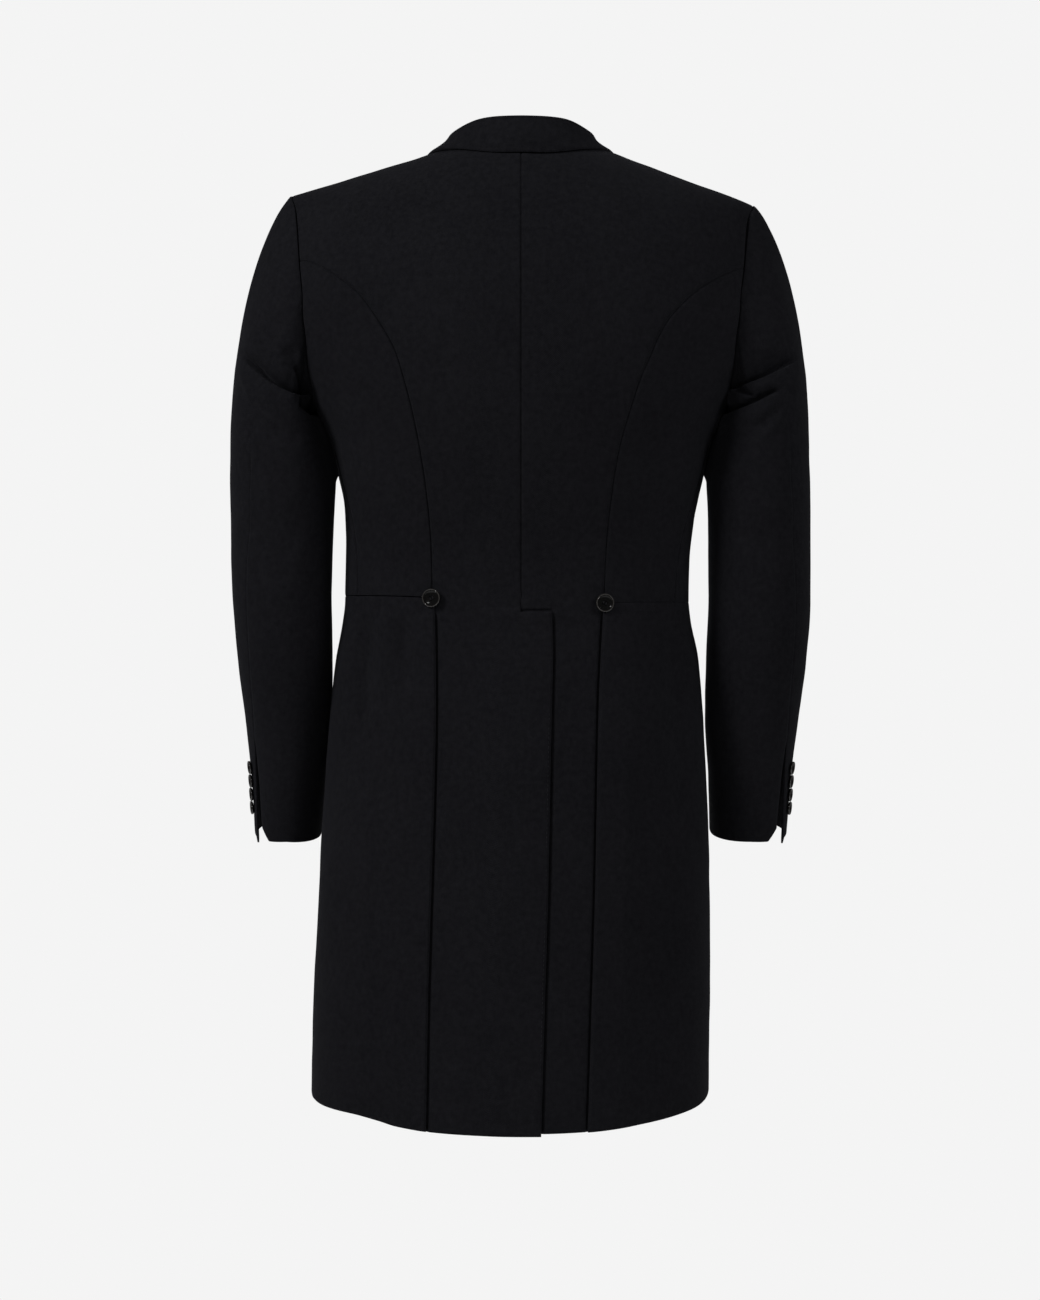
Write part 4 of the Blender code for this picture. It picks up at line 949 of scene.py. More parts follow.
def waves(points):
    """Slow unevenness of cloth that hangs, as a height."""
    rise = np.zeros(points.shape[:-1])
    for place in np.ndindex(rise.shape):
        p = Vector(points[place])
        slow = Vector((p.x * WAVE_ACROSS, p.y * WAVE_ACROSS, p.z * WAVE_DOWN))
        rise[place] = WAVE * noise.noise(slow)
        rise[place] += RIPPLE * noise.noise(p * RIPPLE_RATE)
    return rise


def sheet(node, points, way, keep):
    """A finished sheet from its outer points, with its thickness and weave map; it hides the solid
    of that name.
    """
    rows, columns = points.shape[:2]
    bm = bmesh.new()
    bmesh.ops.create_grid(bm, x_segments=columns - 1, y_segments=rows - 1, size=0.5)
    own = bm.verts.layers.int.new("own")
    for v in bm.verts:
        i, j = round((0.5 - v.co.y) * (rows - 1)), round((v.co.x + 0.5) * (columns - 1))
        v[own] = i * columns + j
    cells = [(min(v[own] for v in f.verts), f) for f in bm.faces]
    unused = [f for k, f in cells if not keep[k // columns, k % columns]]
    bmesh.ops.delete(bm, geom=unused, context="FACES")
    outer, direction = points.reshape(-1, 3), way.reshape(-1, 3)
    for v in bm.verts:
        v.co = outer[v[own]]
    bm.normal_update()
    if sum(f.normal.dot(Vector(direction[f.verts[0][own]])) for f in bm.faces) < 0:
        bmesh.ops.reverse_faces(bm, faces=bm.faces[:])
    area = round(sum(f.calc_area() for f in bm.faces), 4)
    under = bmesh.ops.extrude_face_region(bm, geom=bm.faces[:], use_keep_orig=True)
    for v in (g for g in under["geom"] if isinstance(g, bmesh.types.BMVert)):
        v.co = outer[v[own]] - direction[v[own]] * CLOTH_THICK
    bmesh.ops.recalc_face_normals(bm, faces=bm.faces[:])
    mesh = grown(node + "_cloth", bm)

    across = np.linalg.norm(np.diff(points, axis=1, prepend=points[:, :1]), axis=-1)
    along = np.linalg.norm(np.diff(points, axis=0, prepend=points[:1]), axis=-1)
    weave = np.stack([across.cumsum(1), -along.cumsum(0)], -1).reshape(-1, 2)
    place = np.zeros(len(mesh.vertices), np.int32)
    mesh.attributes["own"].data.foreach_get("value", place)
    corner = np.zeros(len(mesh.loops), np.int32)
    mesh.loops.foreach_get("vertex_index", corner)
    mesh.uv_layers.new(name="weave").data.foreach_set("uv", weave[place[corner]].ravel())
    mesh.shade_smooth()
    mesh.set_sharp_from_angle(angle=math.radians(55))

    made = add_object(mesh.name, mesh, CLOTH)
    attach(made, "root")
    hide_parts(node)
    width = round(float((across[:-1, 1:] * keep).sum(1).max()), 3)
    length = round(float((along[1:, :-1] * keep).sum(0).max()), 3)
    made_sheets[node] = (width, length, area)
    print(made.name, "quads", len(mesh.polygons), "flat", made_sheets[node])


def seam_depth(points):
    """The waist seam is pressed flatter than the others, and hardly shows."""
    off = points[..., 2] - np.where(points[..., 0] > 0, *WAIST_SEAM)
    return GROOVE * (1 - WAIST_FLAT * bell(off, 0.005))


def body_sheet(piece, side, grid, raised=None, keep=None, rows=ENDS, columns=ENDS):
    """A sheet that hangs on the body's form, and may be raised where it laps over another."""
    grid, keep = closer(grid, whole(grid) if keep is None else keep, rows, columns)
    points = onto(grid, 8)
    way = unit(outward(points))
    rise = creases(BODY_CREASES, points) + waves(points) + sewn(points, keep, seam_depth(points))
    if raised:
        rise = rise + raised(points)
    points = points + way * rise[..., None]
    sheet("%s_%s" % (piece, side_name(side)), points, way, keep)


print("a quad is", CELL * 1000, "mm")

# %% [markdown]
# The back is cut in one piece on each side, from the neck to the hem. Below the hook, the
# wearer's left skirt passes over the right one and is open to the hem: that is the vent. The
# right skirt runs on under it, and both run on under the side skirts at the pleats. The grid has
# an upper and a lower half, with strips beside them, whose unused cells are deleted.

# %% The backs
VENT_LAP = 0.0303
VENT_UNDER = 0.016
PLEAT_UNDER = 0.018
PLEAT_DIP = 0.0026  # how far the back's cloth sinks beside a pleat's edge
PLEAT_DIP_WIDE = 0.0017
VENT_DIP_WIDE = 0.0019
PLEATS_FROM = (-0.452, 0.012)  # the pleats start here, over this much
LAP_SIDE = (0.046, 0.028)  # the left back's lap fades out to the side
LAP_FROM = (-0.4505, 0.0048)  # and starts at the hook
UNDER_SHORTER = 0.0025  # what lies under a lap ends this much above it at the hem
NEAR_HEM = -0.95
FACE_REACH = 0.17  # a tongue stays this near the middle
HOOK_DIP, HOOK_DIP_WIDE = 0.0015, 0.0016  # above the hook
BACK_HEM = {1: -0.9672, -1: -0.9648}
PLEAT = [
    # z, left, right
    (-0.9700, 0.0930, 0.0650),
    (-0.8346, 0.0908, 0.0693),
    (-0.7370, 0.0878, 0.0722),
    (-0.6395, 0.0850, 0.0742),
    (-0.5419, 0.0833, 0.0763),
    (-0.4588, 0.0845, 0.0804),
    (-0.4420, 0.0871, 0.0814),
]
VENT = [
    # z, past_centre
    (-0.9700, 0.0195),
    (-0.8338, 0.0234),
    (-0.7365, 0.0263),
    (-0.6392, 0.0283),
    (-0.5418, 0.0303),
    (-0.4930, 0.0313),
    (STEP_Z, VENT_LAP),
]
HEM = [
    # turn, left, right
    (25, -0.9645, -0.9640),
    (35, -0.9632, -0.9632),
    (47, -0.9586, -0.9600),
    (53, -0.9545, -0.9575),
    (61, -0.9495, -0.9537),
    (70, -0.9460, -0.9485),
    (77, -0.9430, -0.9440),
    (84, -0.9385, -0.9385),
    (91, -0.9300, -0.9300),
    (96, -0.9180, -0.9180),
]


def back(side):
    top = joined(even(neck_line(side)), even(shoulder_line(side)))
    arm = armhole(side, np.linspace(0, TURN_CURVED, 30))
    edge = joined(even(arm), even(curved_seam(side)))
    waist_z = edge[-1][2]
    centre_z = np.linspace(NECK[0][1], STEP_Z, len(edge))
    centre = onto(on_face(np.zeros_like(centre_z), centre_z, 1))
    share = np.linspace(0, 1, len(top))
    waist = on_face(edge[-1][0] * share, STEP_Z + (waist_z - STEP_Z) * share, 1)
    upper = onto(patch(centre, edge, top, waist))

    hem_z = BACK_HEM[side]
    down = np.linspace(0, 1, int(round((STEP_Z - hem_z) / CELL)) + 1)
    side_end = float(smooth(HEM, column(side), 35))
    side_z = waist_z + (side_end - waist_z) * down
    side_x = side * smooth(PLEAT, column(side), side_z)
    left = on_face(np.zeros_like(down), STEP_Z + (hem_z - STEP_Z) * down, 1)
    hem = on_face(side_x[-1] * share, hem_z + (side_end - hem_z) * share**2, 1)
    lower = onto(patch(left, on_face(side_x, side_z, 1), waist, hem), 6)
    body = joined(upper, lower)

    all_z = body[:, 0, 2]
    reach = smooth(VENT, 1, all_z) if side > 0 else np.full(len(body), VENT_UNDER)
    lap = int(round((VENT_LAP if side > 0 else VENT_UNDER) / CELL))
    shorter = UNDER_SHORTER * (all_z < NEAR_HEM)
    vent_z = all_z + (shorter if side < 0 else 0)
    vent = [on_face(-side * reach * k / lap, vent_z, 1) for k in range(lap, 0, -1)]
    under = int(round(PLEAT_UNDER / CELL))
    tongue = []
    for k in range(1, under + 1):
        x = body[:, -1, 0] + side * PLEAT_UNDER * k / under
        x = np.clip(x, -FACE_REACH, FACE_REACH)
        tongue.append(on_face(x, body[:, -1, 2] + shorter, 1))
    grid = np.concatenate([np.stack(vent, 1), body, np.stack(tongue, 1)], axis=1)
    step_row = len(edge) - 1
    keep = whole(grid)
    keep[: step_row + (0 if side > 0 else 1), :lap] = False
    keep[: step_row + 1, -under:] = False

    def raised(p):
        x, z = p[..., 0], p[..., 2]
        low = sinks_past(z, *PLEATS_FROM)
        pleat = side * x - smooth(PLEAT, column(side), z)
        dip = -PLEAT_DIP * bell(pleat + 0.0005, PLEAT_DIP_WIDE) * low
        if side > 0:
            return dip + LAP * sinks_past(x, *LAP_SIDE) * sinks_past(z, *LAP_FROM)
        past_vent = -x - smooth(VENT, 1, z)
        dip = dip - PLEAT_DIP * bell(past_vent - 0.0004, VENT_DIP_WIDE) * low
        hook = bell(z - STEP_Z - 0.0010, HOOK_DIP_WIDE) * climbs_past(x, -VENT_LAP - 0.001, 0.002)
        return dip - HOOK_DIP * hook * sinks_past(x, 0.001, 0.002)

    marks = [0, lap, -1 - under, -1]
    body_sheet("back", side, grid, raised, keep, [0, step_row, -1], marks)


for side in BOTH:
    back(side)

# %% [markdown]
# A side body fills the space between the curved seam, the armhole and the side seam, and ends at
# the waist. It is what gives a morning coat its narrow back.


# %% The side bodies
def side_body(side):
    edge = curved_seam(side)
    rows = count_for(edge)
    seam = side_seam(side, rows)
    arm = even(armhole(side, np.linspace(TURN_CURVED, TURN_SIDE, 40)))
    bottom = waist_line(side, edge[-1], seam[-1], len(arm))
    grid = onto(patch(spaced(edge, rows), seam, arm, bottom))
    body_sheet("side_body", side, grid)


for side in BOTH:
    side_body(side)

# %% [markdown]
# The photograph doesn't show the front, so it is the plain one that such a coat has: two
# foreparts that meet at one button, with the wearer's left one on top. The front edge leans out
# from the button to the neck, because the lapel turns over along it.


# %% The foreparts
FRONT_LAP_SIDE = (0.042, 0.024)  # the front's lap fades out to the side
FRONT_LAP_FROM, FRONT_LAP_TO = (-0.325, 0.03), (-0.520, 0.04)  # and above and below
FRONT_CORNER = 0.53  # how far down the front edge is level with the top of the side seam


def front_lap(side, p):
    """The left front passes over the right one at the button."""
    x, z = p[..., 0], p[..., 2]
    over = sinks_past(x, *FRONT_LAP_SIDE) * sinks_past(z, *FRONT_LAP_FROM)
    return LAP * over * climbs_past(z, *FRONT_LAP_TO) * (p[..., 1] < 0) * (side > 0)


def forepart(side):
    arm = even(armhole(side, np.linspace(360, TURN_SIDE, 90)))
    seam = even(side_seam(side, 60))
    edge = joined(arm, seam)
    top = even(shoulder_line(side)[::-1])
    high, low = top[-1][2], WAIST[-1][1]
    middle = high + (low - high) * FRONT_CORNER
    z = joined(np.linspace(high, middle, len(arm)), np.linspace(middle, low, len(seam)))
    front = on_face(side * smooth(FRONT, 1, z), z, -1)
    front[0] = top[-1]
    bottom = waist_line(side, edge[-1], front[-1], len(top))
    grid = onto(patch(edge, front, top, bottom), 20)
    body_sheet("forepart", side, grid, lambda p: front_lap(side, p))


for side in BOTH:
    forepart(side)

# %% [markdown]
# A skirt is cut in one with the cutaway front edge, which sweeps from the button round to a
# rounded corner at the hem. Behind, it lies over the back's tongue at the pleat. The grid is laid
# out flat first, by how far round and how high each point is, and then wrapped on the form.

# %% The skirts
CUTAWAY = [
    # z, turn
    (-0.9180, 96),
    (-0.8900, 99),
    (-0.8500, 103),
    (-0.8000, 108),
    (-0.7500, 114),
    (-0.7000, 121),
    (-0.6500, 129),
    (-0.6000, 138),
    (-0.5500, 149),
    (-0.5000, 164),
    (-0.4700, 177),
    (-0.4490, 186),
]
SKIRT_WIDE = 0.40
SKIRT_PROUD = 0.0008  # that the edge of a pleat stands off, besides the lap
SKIRT_LAP_SIDE = (0.052, 0.026)  # its lap over the back fades out round the side
SKIRT_LAP_FROM = (-0.4440, 0.016)


def skirt(side):
    which = column(side)
    top_z = curved_seam(side)[-1][2]
    low_z = float(smooth(HEM, which, 35))
    rows = int(round((top_z - low_z) / CELL)) + 1
    z = np.linspace(top_z, low_z, rows)
    back_edge = on_face(side * smooth(PLEAT, which, z), z, 1)
    out = side * (back_edge[:, 0] - smooth(BODY, MIDDLE, z))
    turn = np.degrees(np.arctan2(out, back_edge[:, 1]))
    left = np.stack([turn, z], axis=-1)
    edge_z = np.linspace(CUTAWAY[-1][0], CUTAWAY[0][0], 200)
    right_z = spaced(ring(1, smooth(CUTAWAY, 1, edge_z), edge_z), rows)[:, 2]
    right = np.stack([smooth(CUTAWAY, 1, right_z), right_z], axis=-1)
    columns = int(round(SKIRT_WIDE / CELL)) + 1
    top_turn = np.linspace(left[0, 0], right[0, 0], columns)
    top = np.stack([top_turn, smooth(WAIST, which, top_turn)], axis=-1)
    low_turn = np.linspace(left[-1, 0], HEM[-1][0], columns)
    bottom = np.stack([low_turn, smooth(HEM, which, low_turn)], axis=-1)
    left[-1, 1] = bottom[0, 1]
    plan = patch(left, right, top, bottom)
    grid = ring(side, plan[..., 0], plan[..., 1])

    def raised(p):
        past = side * p[..., 0] - smooth(PLEAT, which, p[..., 2])
        over = sinks_past(past, *SKIRT_LAP_SIDE) * sinks_past(p[..., 2], *SKIRT_LAP_FROM)
        return (LAP + SKIRT_PROUD) * over * (p[..., 1] > 0) + front_lap(side, p)

    body_sheet("skirt", side, grid, raised)


for side in BOTH:
    skirt(side)

# %% [markdown]
# The lapel is the forepart's own cloth, turned outwards. Along the roll line it goes round in a
# small soft half circle, and further out it lies on the chest with a slight belly. So its grid
# has a few extra columns that carry it round the roll.

# %% The lapels
LAPEL = [
    # z, out
    (-0.4040, -0.0050),
    (-0.3850, 0.0160),
    (-0.3500, 0.0420),
    (-0.3000, 0.0680),
    (-0.2400, 0.0925),
    (-0.1800, 0.1130),
    (-0.1200, 0.1305),
    (-0.0700, 0.1430),
    (-0.0420, 0.1500),
]
GORGE = [
    # out, z
    (0.0730, -0.0620),
    (0.1000, -0.0575),
    (0.1150, -0.0540),
    (0.1500, -0.0420),
]
LAPEL_END = {1: -0.4000, -1: -0.3680}
LAPEL_ROWS, LAPEL_COLUMNS = 84, 22
LAPEL_IN = 0.0006  # how far the roll line lies in from the forepart's edge
LAPEL_OFF = 0.0003
BELLY = 0.0022
ROLL_STEPS = 5
ROLL_TURN = 0.9  # of a half circle
ROLL_RADIUS = LAP * 0.95


def lapel(side):
    end = LAPEL_END[side]
    z = np.linspace(GORGE[0][1], end, LAPEL_ROWS)
    roll = np.stack([smooth(FRONT, 1, z) + LAPEL_IN, z], axis=-1)
    high, low = LAPEL[-1][0], LAPEL[0][0]
    outer_z = np.linspace(high, low, LAPEL_ROWS)
    lower = high + (outer_z - high) * (end - high) / (low - high)
    outer = np.stack([smooth(LAPEL, 1, outer_z), lower], -1)
    outer[:, 0] += (roll[-1, 0] - LAPEL[0][1]) * np.linspace(0, 1, LAPEL_ROWS) ** 4
    top_x = np.linspace(roll[0, 0], outer[0, 0], LAPEL_COLUMNS)
    top = np.stack([top_x, smooth(GORGE, 1, top_x)], -1)
    tip_x = np.linspace(roll[-1, 0], outer[-1, 0] + 0.004, LAPEL_COLUMNS)
    tip = np.stack([tip_x, np.full(LAPEL_COLUMNS, end)], -1)
    outer[-1], roll[0], outer[0] = tip[-1], top[0], top[-1]
    plan = patch(roll, outer, top, tip)
    plan = np.concatenate([plan, 0 * plan[..., :1]], -1)
    plan, keep = closer(plan, whole(plan), ENDS, [-1])
    points = onto(on_face(side * plan[..., 0], plan[..., 1], -1), 6)
    way = unit(outward(points))
    belly = BELLY * np.sin(np.linspace(0, math.pi, points.shape[1]))[None, :]
    rise = front_lap(side, points) + LAP + LAPEL_OFF + belly + creases(BODY_CREASES, points)
    rise = rise + sewn(points, keep) + 0.4 * waves(points)
    points = points + way * rise[..., None]

    edge, up = points[:, 0], way[:, 0]
    back_in = unit(edge - points[:, 2])
    back_in = unit(back_in - (back_in * up).sum(-1, keepdims=True) * up)
    turned, ways = [], []
    for k in range(ROLL_STEPS, 0, -1):
        a = math.pi * ROLL_TURN * k / ROLL_STEPS
        lean = math.sin(a) * back_in + math.cos(a) * up
        turned.append(edge + ROLL_RADIUS * (lean - up))
        ways.append(lean)
    points = np.concatenate([np.stack(turned, 1), points], 1)
    way = np.concatenate([np.stack(ways, 1), way], 1)
    node = "lapel_" + side_name(side)
    sheet(node, points, way, whole(points))


for side in BOTH:
    lapel(side)

# %% [markdown]
# The collar stands up from the neck seam and folds over, so that its fall covers the seam and
# rests on the back and shoulders. Its section is a straight stand, a small round fold and a
# slightly hollow fall. The table gives where the fold and the free edge are, station by station.

# %% The collar
COLLAR = [
    # share, fold_out, fold_y, fold_up, edge_x, edge_y, z_left, z_right
    (0.00, 0.0000, 0.0070, 0.0264, 0.0000, 0.0625, -0.0034, -0.0034),
    (0.10, -0.0010, 0.0070, 0.0260, 0.0225, 0.0612, -0.0028, -0.0034),
    (0.20, -0.0035, 0.0055, 0.0242, 0.0440, 0.0550, -0.0009, -0.0026),
    (0.32, -0.0070, 0.0020, 0.0185, 0.0620, 0.0450, 0.0014, -0.0006),
    (0.42, -0.0090, -0.0010, 0.0145, 0.0750, 0.0330, 0.0024, 0.0006),
    (0.50, -0.0108, -0.0030, 0.0120, 0.0838, 0.0200, 0.0026, 0.0014),
    (0.58, -0.0100, -0.0020, 0.0100, 0.0885, 0.0050, 0.0020, 0.0014),
    (0.66, -0.0085, -0.0030, 0.0100, 0.0930, -0.0120, -0.0004, -0.0004),
    (0.75, -0.0065, -0.0035, 0.0110, 0.0990, -0.0330, -0.0095, -0.0095),
    (0.84, -0.0050, -0.0040, 0.0110, 0.1050, -0.0510, -0.0257, -0.0257),
    (0.92, -0.0035, -0.0050, 0.0090, 0.1090, -0.0610, -0.0390, -0.0390),
    (1.00, -0.0020, -0.0055, 0.0060, 0.1120, -0.0672, -0.0500, -0.0500),
]
FOLD_RADIUS = 0.0017
COLLAR_STATIONS = 74
GORGE_Z = -0.0590  # where the neck edge ends in front
COLLAR_OFF = GAP + CLOTH_THICK / 2 + 0.0006  # the middle of its cloth, off the body's form
COLLAR_SEAM_OFF = 0.0004
FULLER, FULLER_AT, FULLER_WIDE = 0.0008, 0.27, 0.09  # the right shoulder's side bulges a little
HOLLOW = 0.0018
STAND_ROWS, FALL_ROWS = 9, 14


def neck_edge(side, count):
    """The whole neck edge of one side: the back's, then the forepart's down to the gorge."""
    z = np.linspace(FRONT[-1][0], GORGE_Z, 40)
    front = on_face(side * smooth(FRONT, 1, z), z, -1)
    return spaced(onto(spaced(joined(neck_line(side), front), 200)), count)


def collar():
    halves = {side: neck_edge(side, COLLAR_STATIONS) for side in BOTH}
    edge = np.concatenate([halves[-1][:0:-1], halves[1]])
    place = np.linspace(-1, 1, len(edge))
    share, left = np.abs(place), place > 0
    side = np.where(left, 1.0, -1.0)
    way, along = unit(outward(edge)), unit(np.gradient(edge, axis=0))
    away = np.cross(way, along)
    away = np.where(away[:, 2:] < 0, -away, away)
    fold_out, fold_y, fold_up, edge_x, edge_y = (smooth(COLLAR, c, share) for c in range(1, 6))
    edge_z = np.where(left, smooth(COLLAR, 6, share), smooth(COLLAR, 7, share))
    seam = edge + away * COLLAR_OFF + way * COLLAR_SEAM_OFF
    fuller = np.where(left, 0.0, FULLER) * bell(share - FULLER_AT, FULLER_WIDE)
    fold = edge + np.stack([side * (fold_out + fuller), fold_y, fold_up + fuller], -1)
    free = onto(np.stack([side * edge_x, edge_y, edge_z], -1))
    free = free + unit(outward(free)) * COLLAR_OFF
    top = unit(fold - seam)
    out = free - seam
    out = unit(out - (out * top).sum(-1, keepdims=True) * top)
    centre = fold - FOLD_RADIUS * top
    a, b = centre - FOLD_RADIUS * out, centre + FOLD_RADIUS * out
    lines = [seam + (a - seam) * t for t in np.linspace(0, 1, STAND_ROWS)[:-1]]
    for angle in np.radians(np.arange(180, -1, -15)):
        lines.append(centre + FOLD_RADIUS * (math.cos(angle) * out + math.sin(angle) * top))
    for t in [*np.linspace(0, 0.92, FALL_ROWS)[1:], 0.95, 0.975, 0.99, 1.0]:
        q = b + (free - b) * t + HOLLOW * math.sin(math.pi * t) * out
        g = outward(q)
        clear = form(q) / np.linalg.norm(g, axis=-1)
        lines.append(q + unit(g) * (np.maximum(0, COLLAR_OFF - clear) * (t > 0.5))[:, None])
    grid = np.stack(lines, 1)
    for _ in range(6):
        grid[1:-1] = (grid[:-2] + 2 * grid[1:-1] + grid[2:]) / 4
    way = unit(np.cross(np.gradient(grid, axis=0), np.gradient(grid, axis=1)))
    if way[len(grid) // 2, -2, 1] < 0:
        way = -way
    rise = sewn(grid, whole(grid), GROOVE * 0.4) + CLOTH_THICK / 2
    points = grid + way * rise[..., None]
    sheet("collar", points, way, whole(grid))


collar()

# %% [markdown]
# A sleeve is two pieces. The wide top one makes the shoulder cap and the outside, and the narrow
# under one the inside. The seam between them at the back runs down to the vent with the buttons.
# The cap leaves the armhole along curves that start in their own direction and end straight
# down; under the armpit the sleeve is a row of level sections that bend slightly forwards. Its
# first few millimetres are turned in through the armhole, as a seam's allowance is, so that no
# light shows between the sleeve and the body.

# %% The form of a sleeve
SLEEVE = [
    # z, outer_left, inner_left, outer_right, inner_right, deep, middle_y, tilt
    (-0.6760, 0.2690, 0.2012, 0.2690, 0.1905, 0.0540, -0.0560, 0.17),
    (-0.6200, 0.2715, 0.1960, 0.2720, 0.1885, 0.0540, -0.0400, 0.17),
    (-0.5600, 0.2770, 0.1905, 0.2790, 0.1850, 0.0550, -0.0260, 0.14),
    (-0.5030, 0.2840, 0.1890, 0.2860, 0.1860, 0.0570, -0.0140, 0.10),
    (-0.4430, 0.2885, 0.1895, 0.2900, 0.1880, 0.0600, -0.0060, 0.05),
    (-0.4030, 0.2900, 0.1885, 0.2900, 0.1875, 0.0615, -0.0030, 0.02),
    (-0.3630, 0.2900, 0.1870, 0.2900, 0.1870, 0.0635, -0.0010, 0.00),
    (-0.3230, 0.2905, 0.1850, 0.2895, 0.1856, 0.0660, 0.0010, 0.00),
    (-0.3000, 0.2900, 0.1888, 0.2885, 0.1894, 0.0675, 0.0020, 0.00),
]
SLEEVE_TOP = -0.3000
SLEEVE_LOW = SLEEVE[0][0]
SLEEVE_SQUARE = 2.2
CAP = [
    # turn, out, back, hold_start, hold_end
    (0, 0.90, 0.00, 0.20, 0.42),
    (45, 0.70, 0.18, 0.25, 0.42),
    (90, 0.25, 0.12, 0.30, 0.40),
    (135, -0.10, 0.05, 0.30, 0.35),
    (180, -0.35, 0.00, 0.30, 0.30),
    (225, -0.10, -0.05, 0.30, 0.35),
    (270, 0.25, -0.12, 0.30, 0.40),
    (315, 0.70, -0.18, 0.25, 0.42),
    (360, 0.90, 0.00, 0.20, 0.42),
]
HINDARM = [
    # z, turn
    (-0.690, 40),
    (-0.573, 48),
    (-0.440, 55),
    (-0.360, 60),
    (-0.285, 66),
    (-0.150, 80),
]
FOREARM_TURN = 240
CAP_TOP = -0.15  # the height that the hindarm seam counts as its top


def sleeve_section(side, turn, z):
    """A point of the sleeve; turn is 0 outside, 90 behind, 180 inside, 270 in front."""
    outer = smooth(SLEEVE, 1 if side > 0 else 3, z) - CLOTH_THICK / 2
    inner = smooth(SLEEVE, 2 if side > 0 else 4, z) + CLOTH_THICK / 2
    wide, deep = (outer - inner) / 2, smooth(SLEEVE, 5, z) - CLOTH_THICK / 2
    c, s = np.cos(np.radians(turn)), np.sin(np.radians(turn))
    r = (np.abs(c) / wide) ** SLEEVE_SQUARE + (np.abs(s) / deep) ** SLEEVE_SQUARE
    r = r ** (-1 / SLEEVE_SQUARE)
    lean = smooth(SLEEVE, 7, z)
    x, y = (outer + inner) / 2 + r * c, smooth(SLEEVE, 6, z) + r * s
    drop = lean * (r * s + 0.25 * r * np.maximum(c, 0) - 0.42 * r * np.minimum(c, 0) * (side > 0))
    return np.stack([side * x, y, z - drop], axis=-1)


ALL_ROUND = np.linspace(0, 360, 1801)
HOLES = {side: armhole(side, ALL_ROUND) for side in BOTH}
HOLE_WAYS = {side: unit(outward(HOLES[side])) for side in BOTH}
ALLOWANCE = 0.006  # how far the sleeve's edge is turned in through the armhole
ALLOWANCE_SHARE = 0.006  # the share of the cap that it takes
ALLOWANCE_OFF = 0.0012  # how far inside the armhole's edge it lies


def hole_inward(side):
    """At each point of the armhole, the way along the form to the middle of the hole."""
    hole = HOLES[side]
    inward = np.cross(HOLE_WAYS[side], unit(np.gradient(hole, axis=0)))
    to_middle = hole[:-1].mean(0) - hole
    return inward * np.sign((inward * to_middle).sum(-1, keepdims=True))


HOLE_INWARD = {side: hole_inward(side) for side in BOTH}


def read_round(line, turn):
    """A point of a line that is known all the way round an armhole."""
    return np.stack([np.interp(turn, ALL_ROUND, line[:, k]) for k in range(3)], axis=-1)


def cap_point(side, turn, share):
    """A point of the cap, from the armhole to the first level section."""
    set_in = CLOTH_THICK * 0.5 * ease((np.cos(np.radians(turn)) + 0.5) / 0.6)
    off = (GAP + CLOTH_THICK / 2 - set_in)[..., None]
    start = read_round(HOLES[side], turn) + read_round(HOLE_WAYS[side], turn) * off
    end = sleeve_section(side, turn, np.full(np.shape(turn), SLEEVE_TOP))
    far = np.linalg.norm(end - start, axis=-1, keepdims=True)
    lead = [side * smooth(CAP, 1, turn), smooth(CAP, 2, turn), -np.ones_like(turn)]
    one = start + unit(np.stack(lead, axis=-1)) * far * smooth(CAP, 3, turn)[..., None]
    two = end + np.array([0, 0, 1.0]) * far * smooth(CAP, 4, turn)[..., None]
    t = share[..., None]
    rest = 1 - t
    cap = start * rest**3 + 3 * one * t * rest**2 + 3 * two * t * t * rest + end * t**3
    turned_in = start + read_round(HOLE_INWARD[side], turn) * ALLOWANCE_OFF
    deep = read_round(HOLE_WAYS[side], turn) * ALLOWANCE * (1 - t / ALLOWANCE_SHARE)
    return np.where(t < ALLOWANCE_SHARE, turned_in - deep, cap)


def sleeve_point(side, turn, share):
    """A point of a sleeve; share is 0 at the armhole, 1 under the cap, 2 at the hem."""
    turn, share = np.broadcast_arrays(np.asarray(turn, float), np.asarray(share, float))
    z = SLEEVE_TOP + (SLEEVE_LOW - SLEEVE_TOP) * np.clip(share - 1, 0, 1.05)
    starts = cap_point(side, turn % 360, np.clip(share, 0, 1))
    return np.where((share <= 1)[..., None], starts, sleeve_section(side, turn, z))


def sleeve_height(share):
    """About how high a share of the sleeve is."""
    above = CAP_TOP + (SLEEVE_TOP - CAP_TOP) * np.clip(share, 0, 1)
    return above + (SLEEVE_LOW - SLEEVE_TOP) * np.clip(share - 1, 0, 1)


print("cuff is", round(SLEEVE[0][1] - SLEEVE[0][2], 3), "wide and", 2 * SLEEVE[0][5], "deep")

# %% [markdown]
# At the cuff the seam is left open for the last ten centimetres. The top sleeve's edge carries
# the buttons and reaches a little lower, and the under sleeve's corner is folded away at a slant,
# so a dark wedge opens between them.

# %% The sleeves
VENT_TOP = 1.735  # where the opening starts, on the scale where the hem is 2
VENT_OPEN = 17.0  # degrees at the hem
CUFF_DROP = 0.005  # the top sleeve's corner below the hem
CUFF_SLANT = 0.0125  # the under sleeve's corner above it
DROP_TURN = 7.0  # how far round the top sleeve's corner reaches, in degrees
SLANT_TURN = 12.0
SLEEVE_LENGTH = SLEEVE_TOP - SLEEVE_LOW
CAP_ROWS = 112
CUFF_FROM = 1.8  # where the cuff's corners start to move
PRESS = 0.0080  # how far the sleeve leans in under the armpit
PRESS_Y, PRESS_WIDE = 0.006, 0.014
PRESS_SIDE, PRESS_FROM, PRESS_TO = (0.235, 0.03), (-0.2540, 0.012), (-0.326, 0.016)
GROOVE_HOLE, GROOVE_CAP, GROOVE_ARM = 0.30, 0.07, 0.34  # shares of a full groove
SLEEVE_WAVE = 0.8
PROBE = 0.004  # the share over which a sleeve's slope is taken


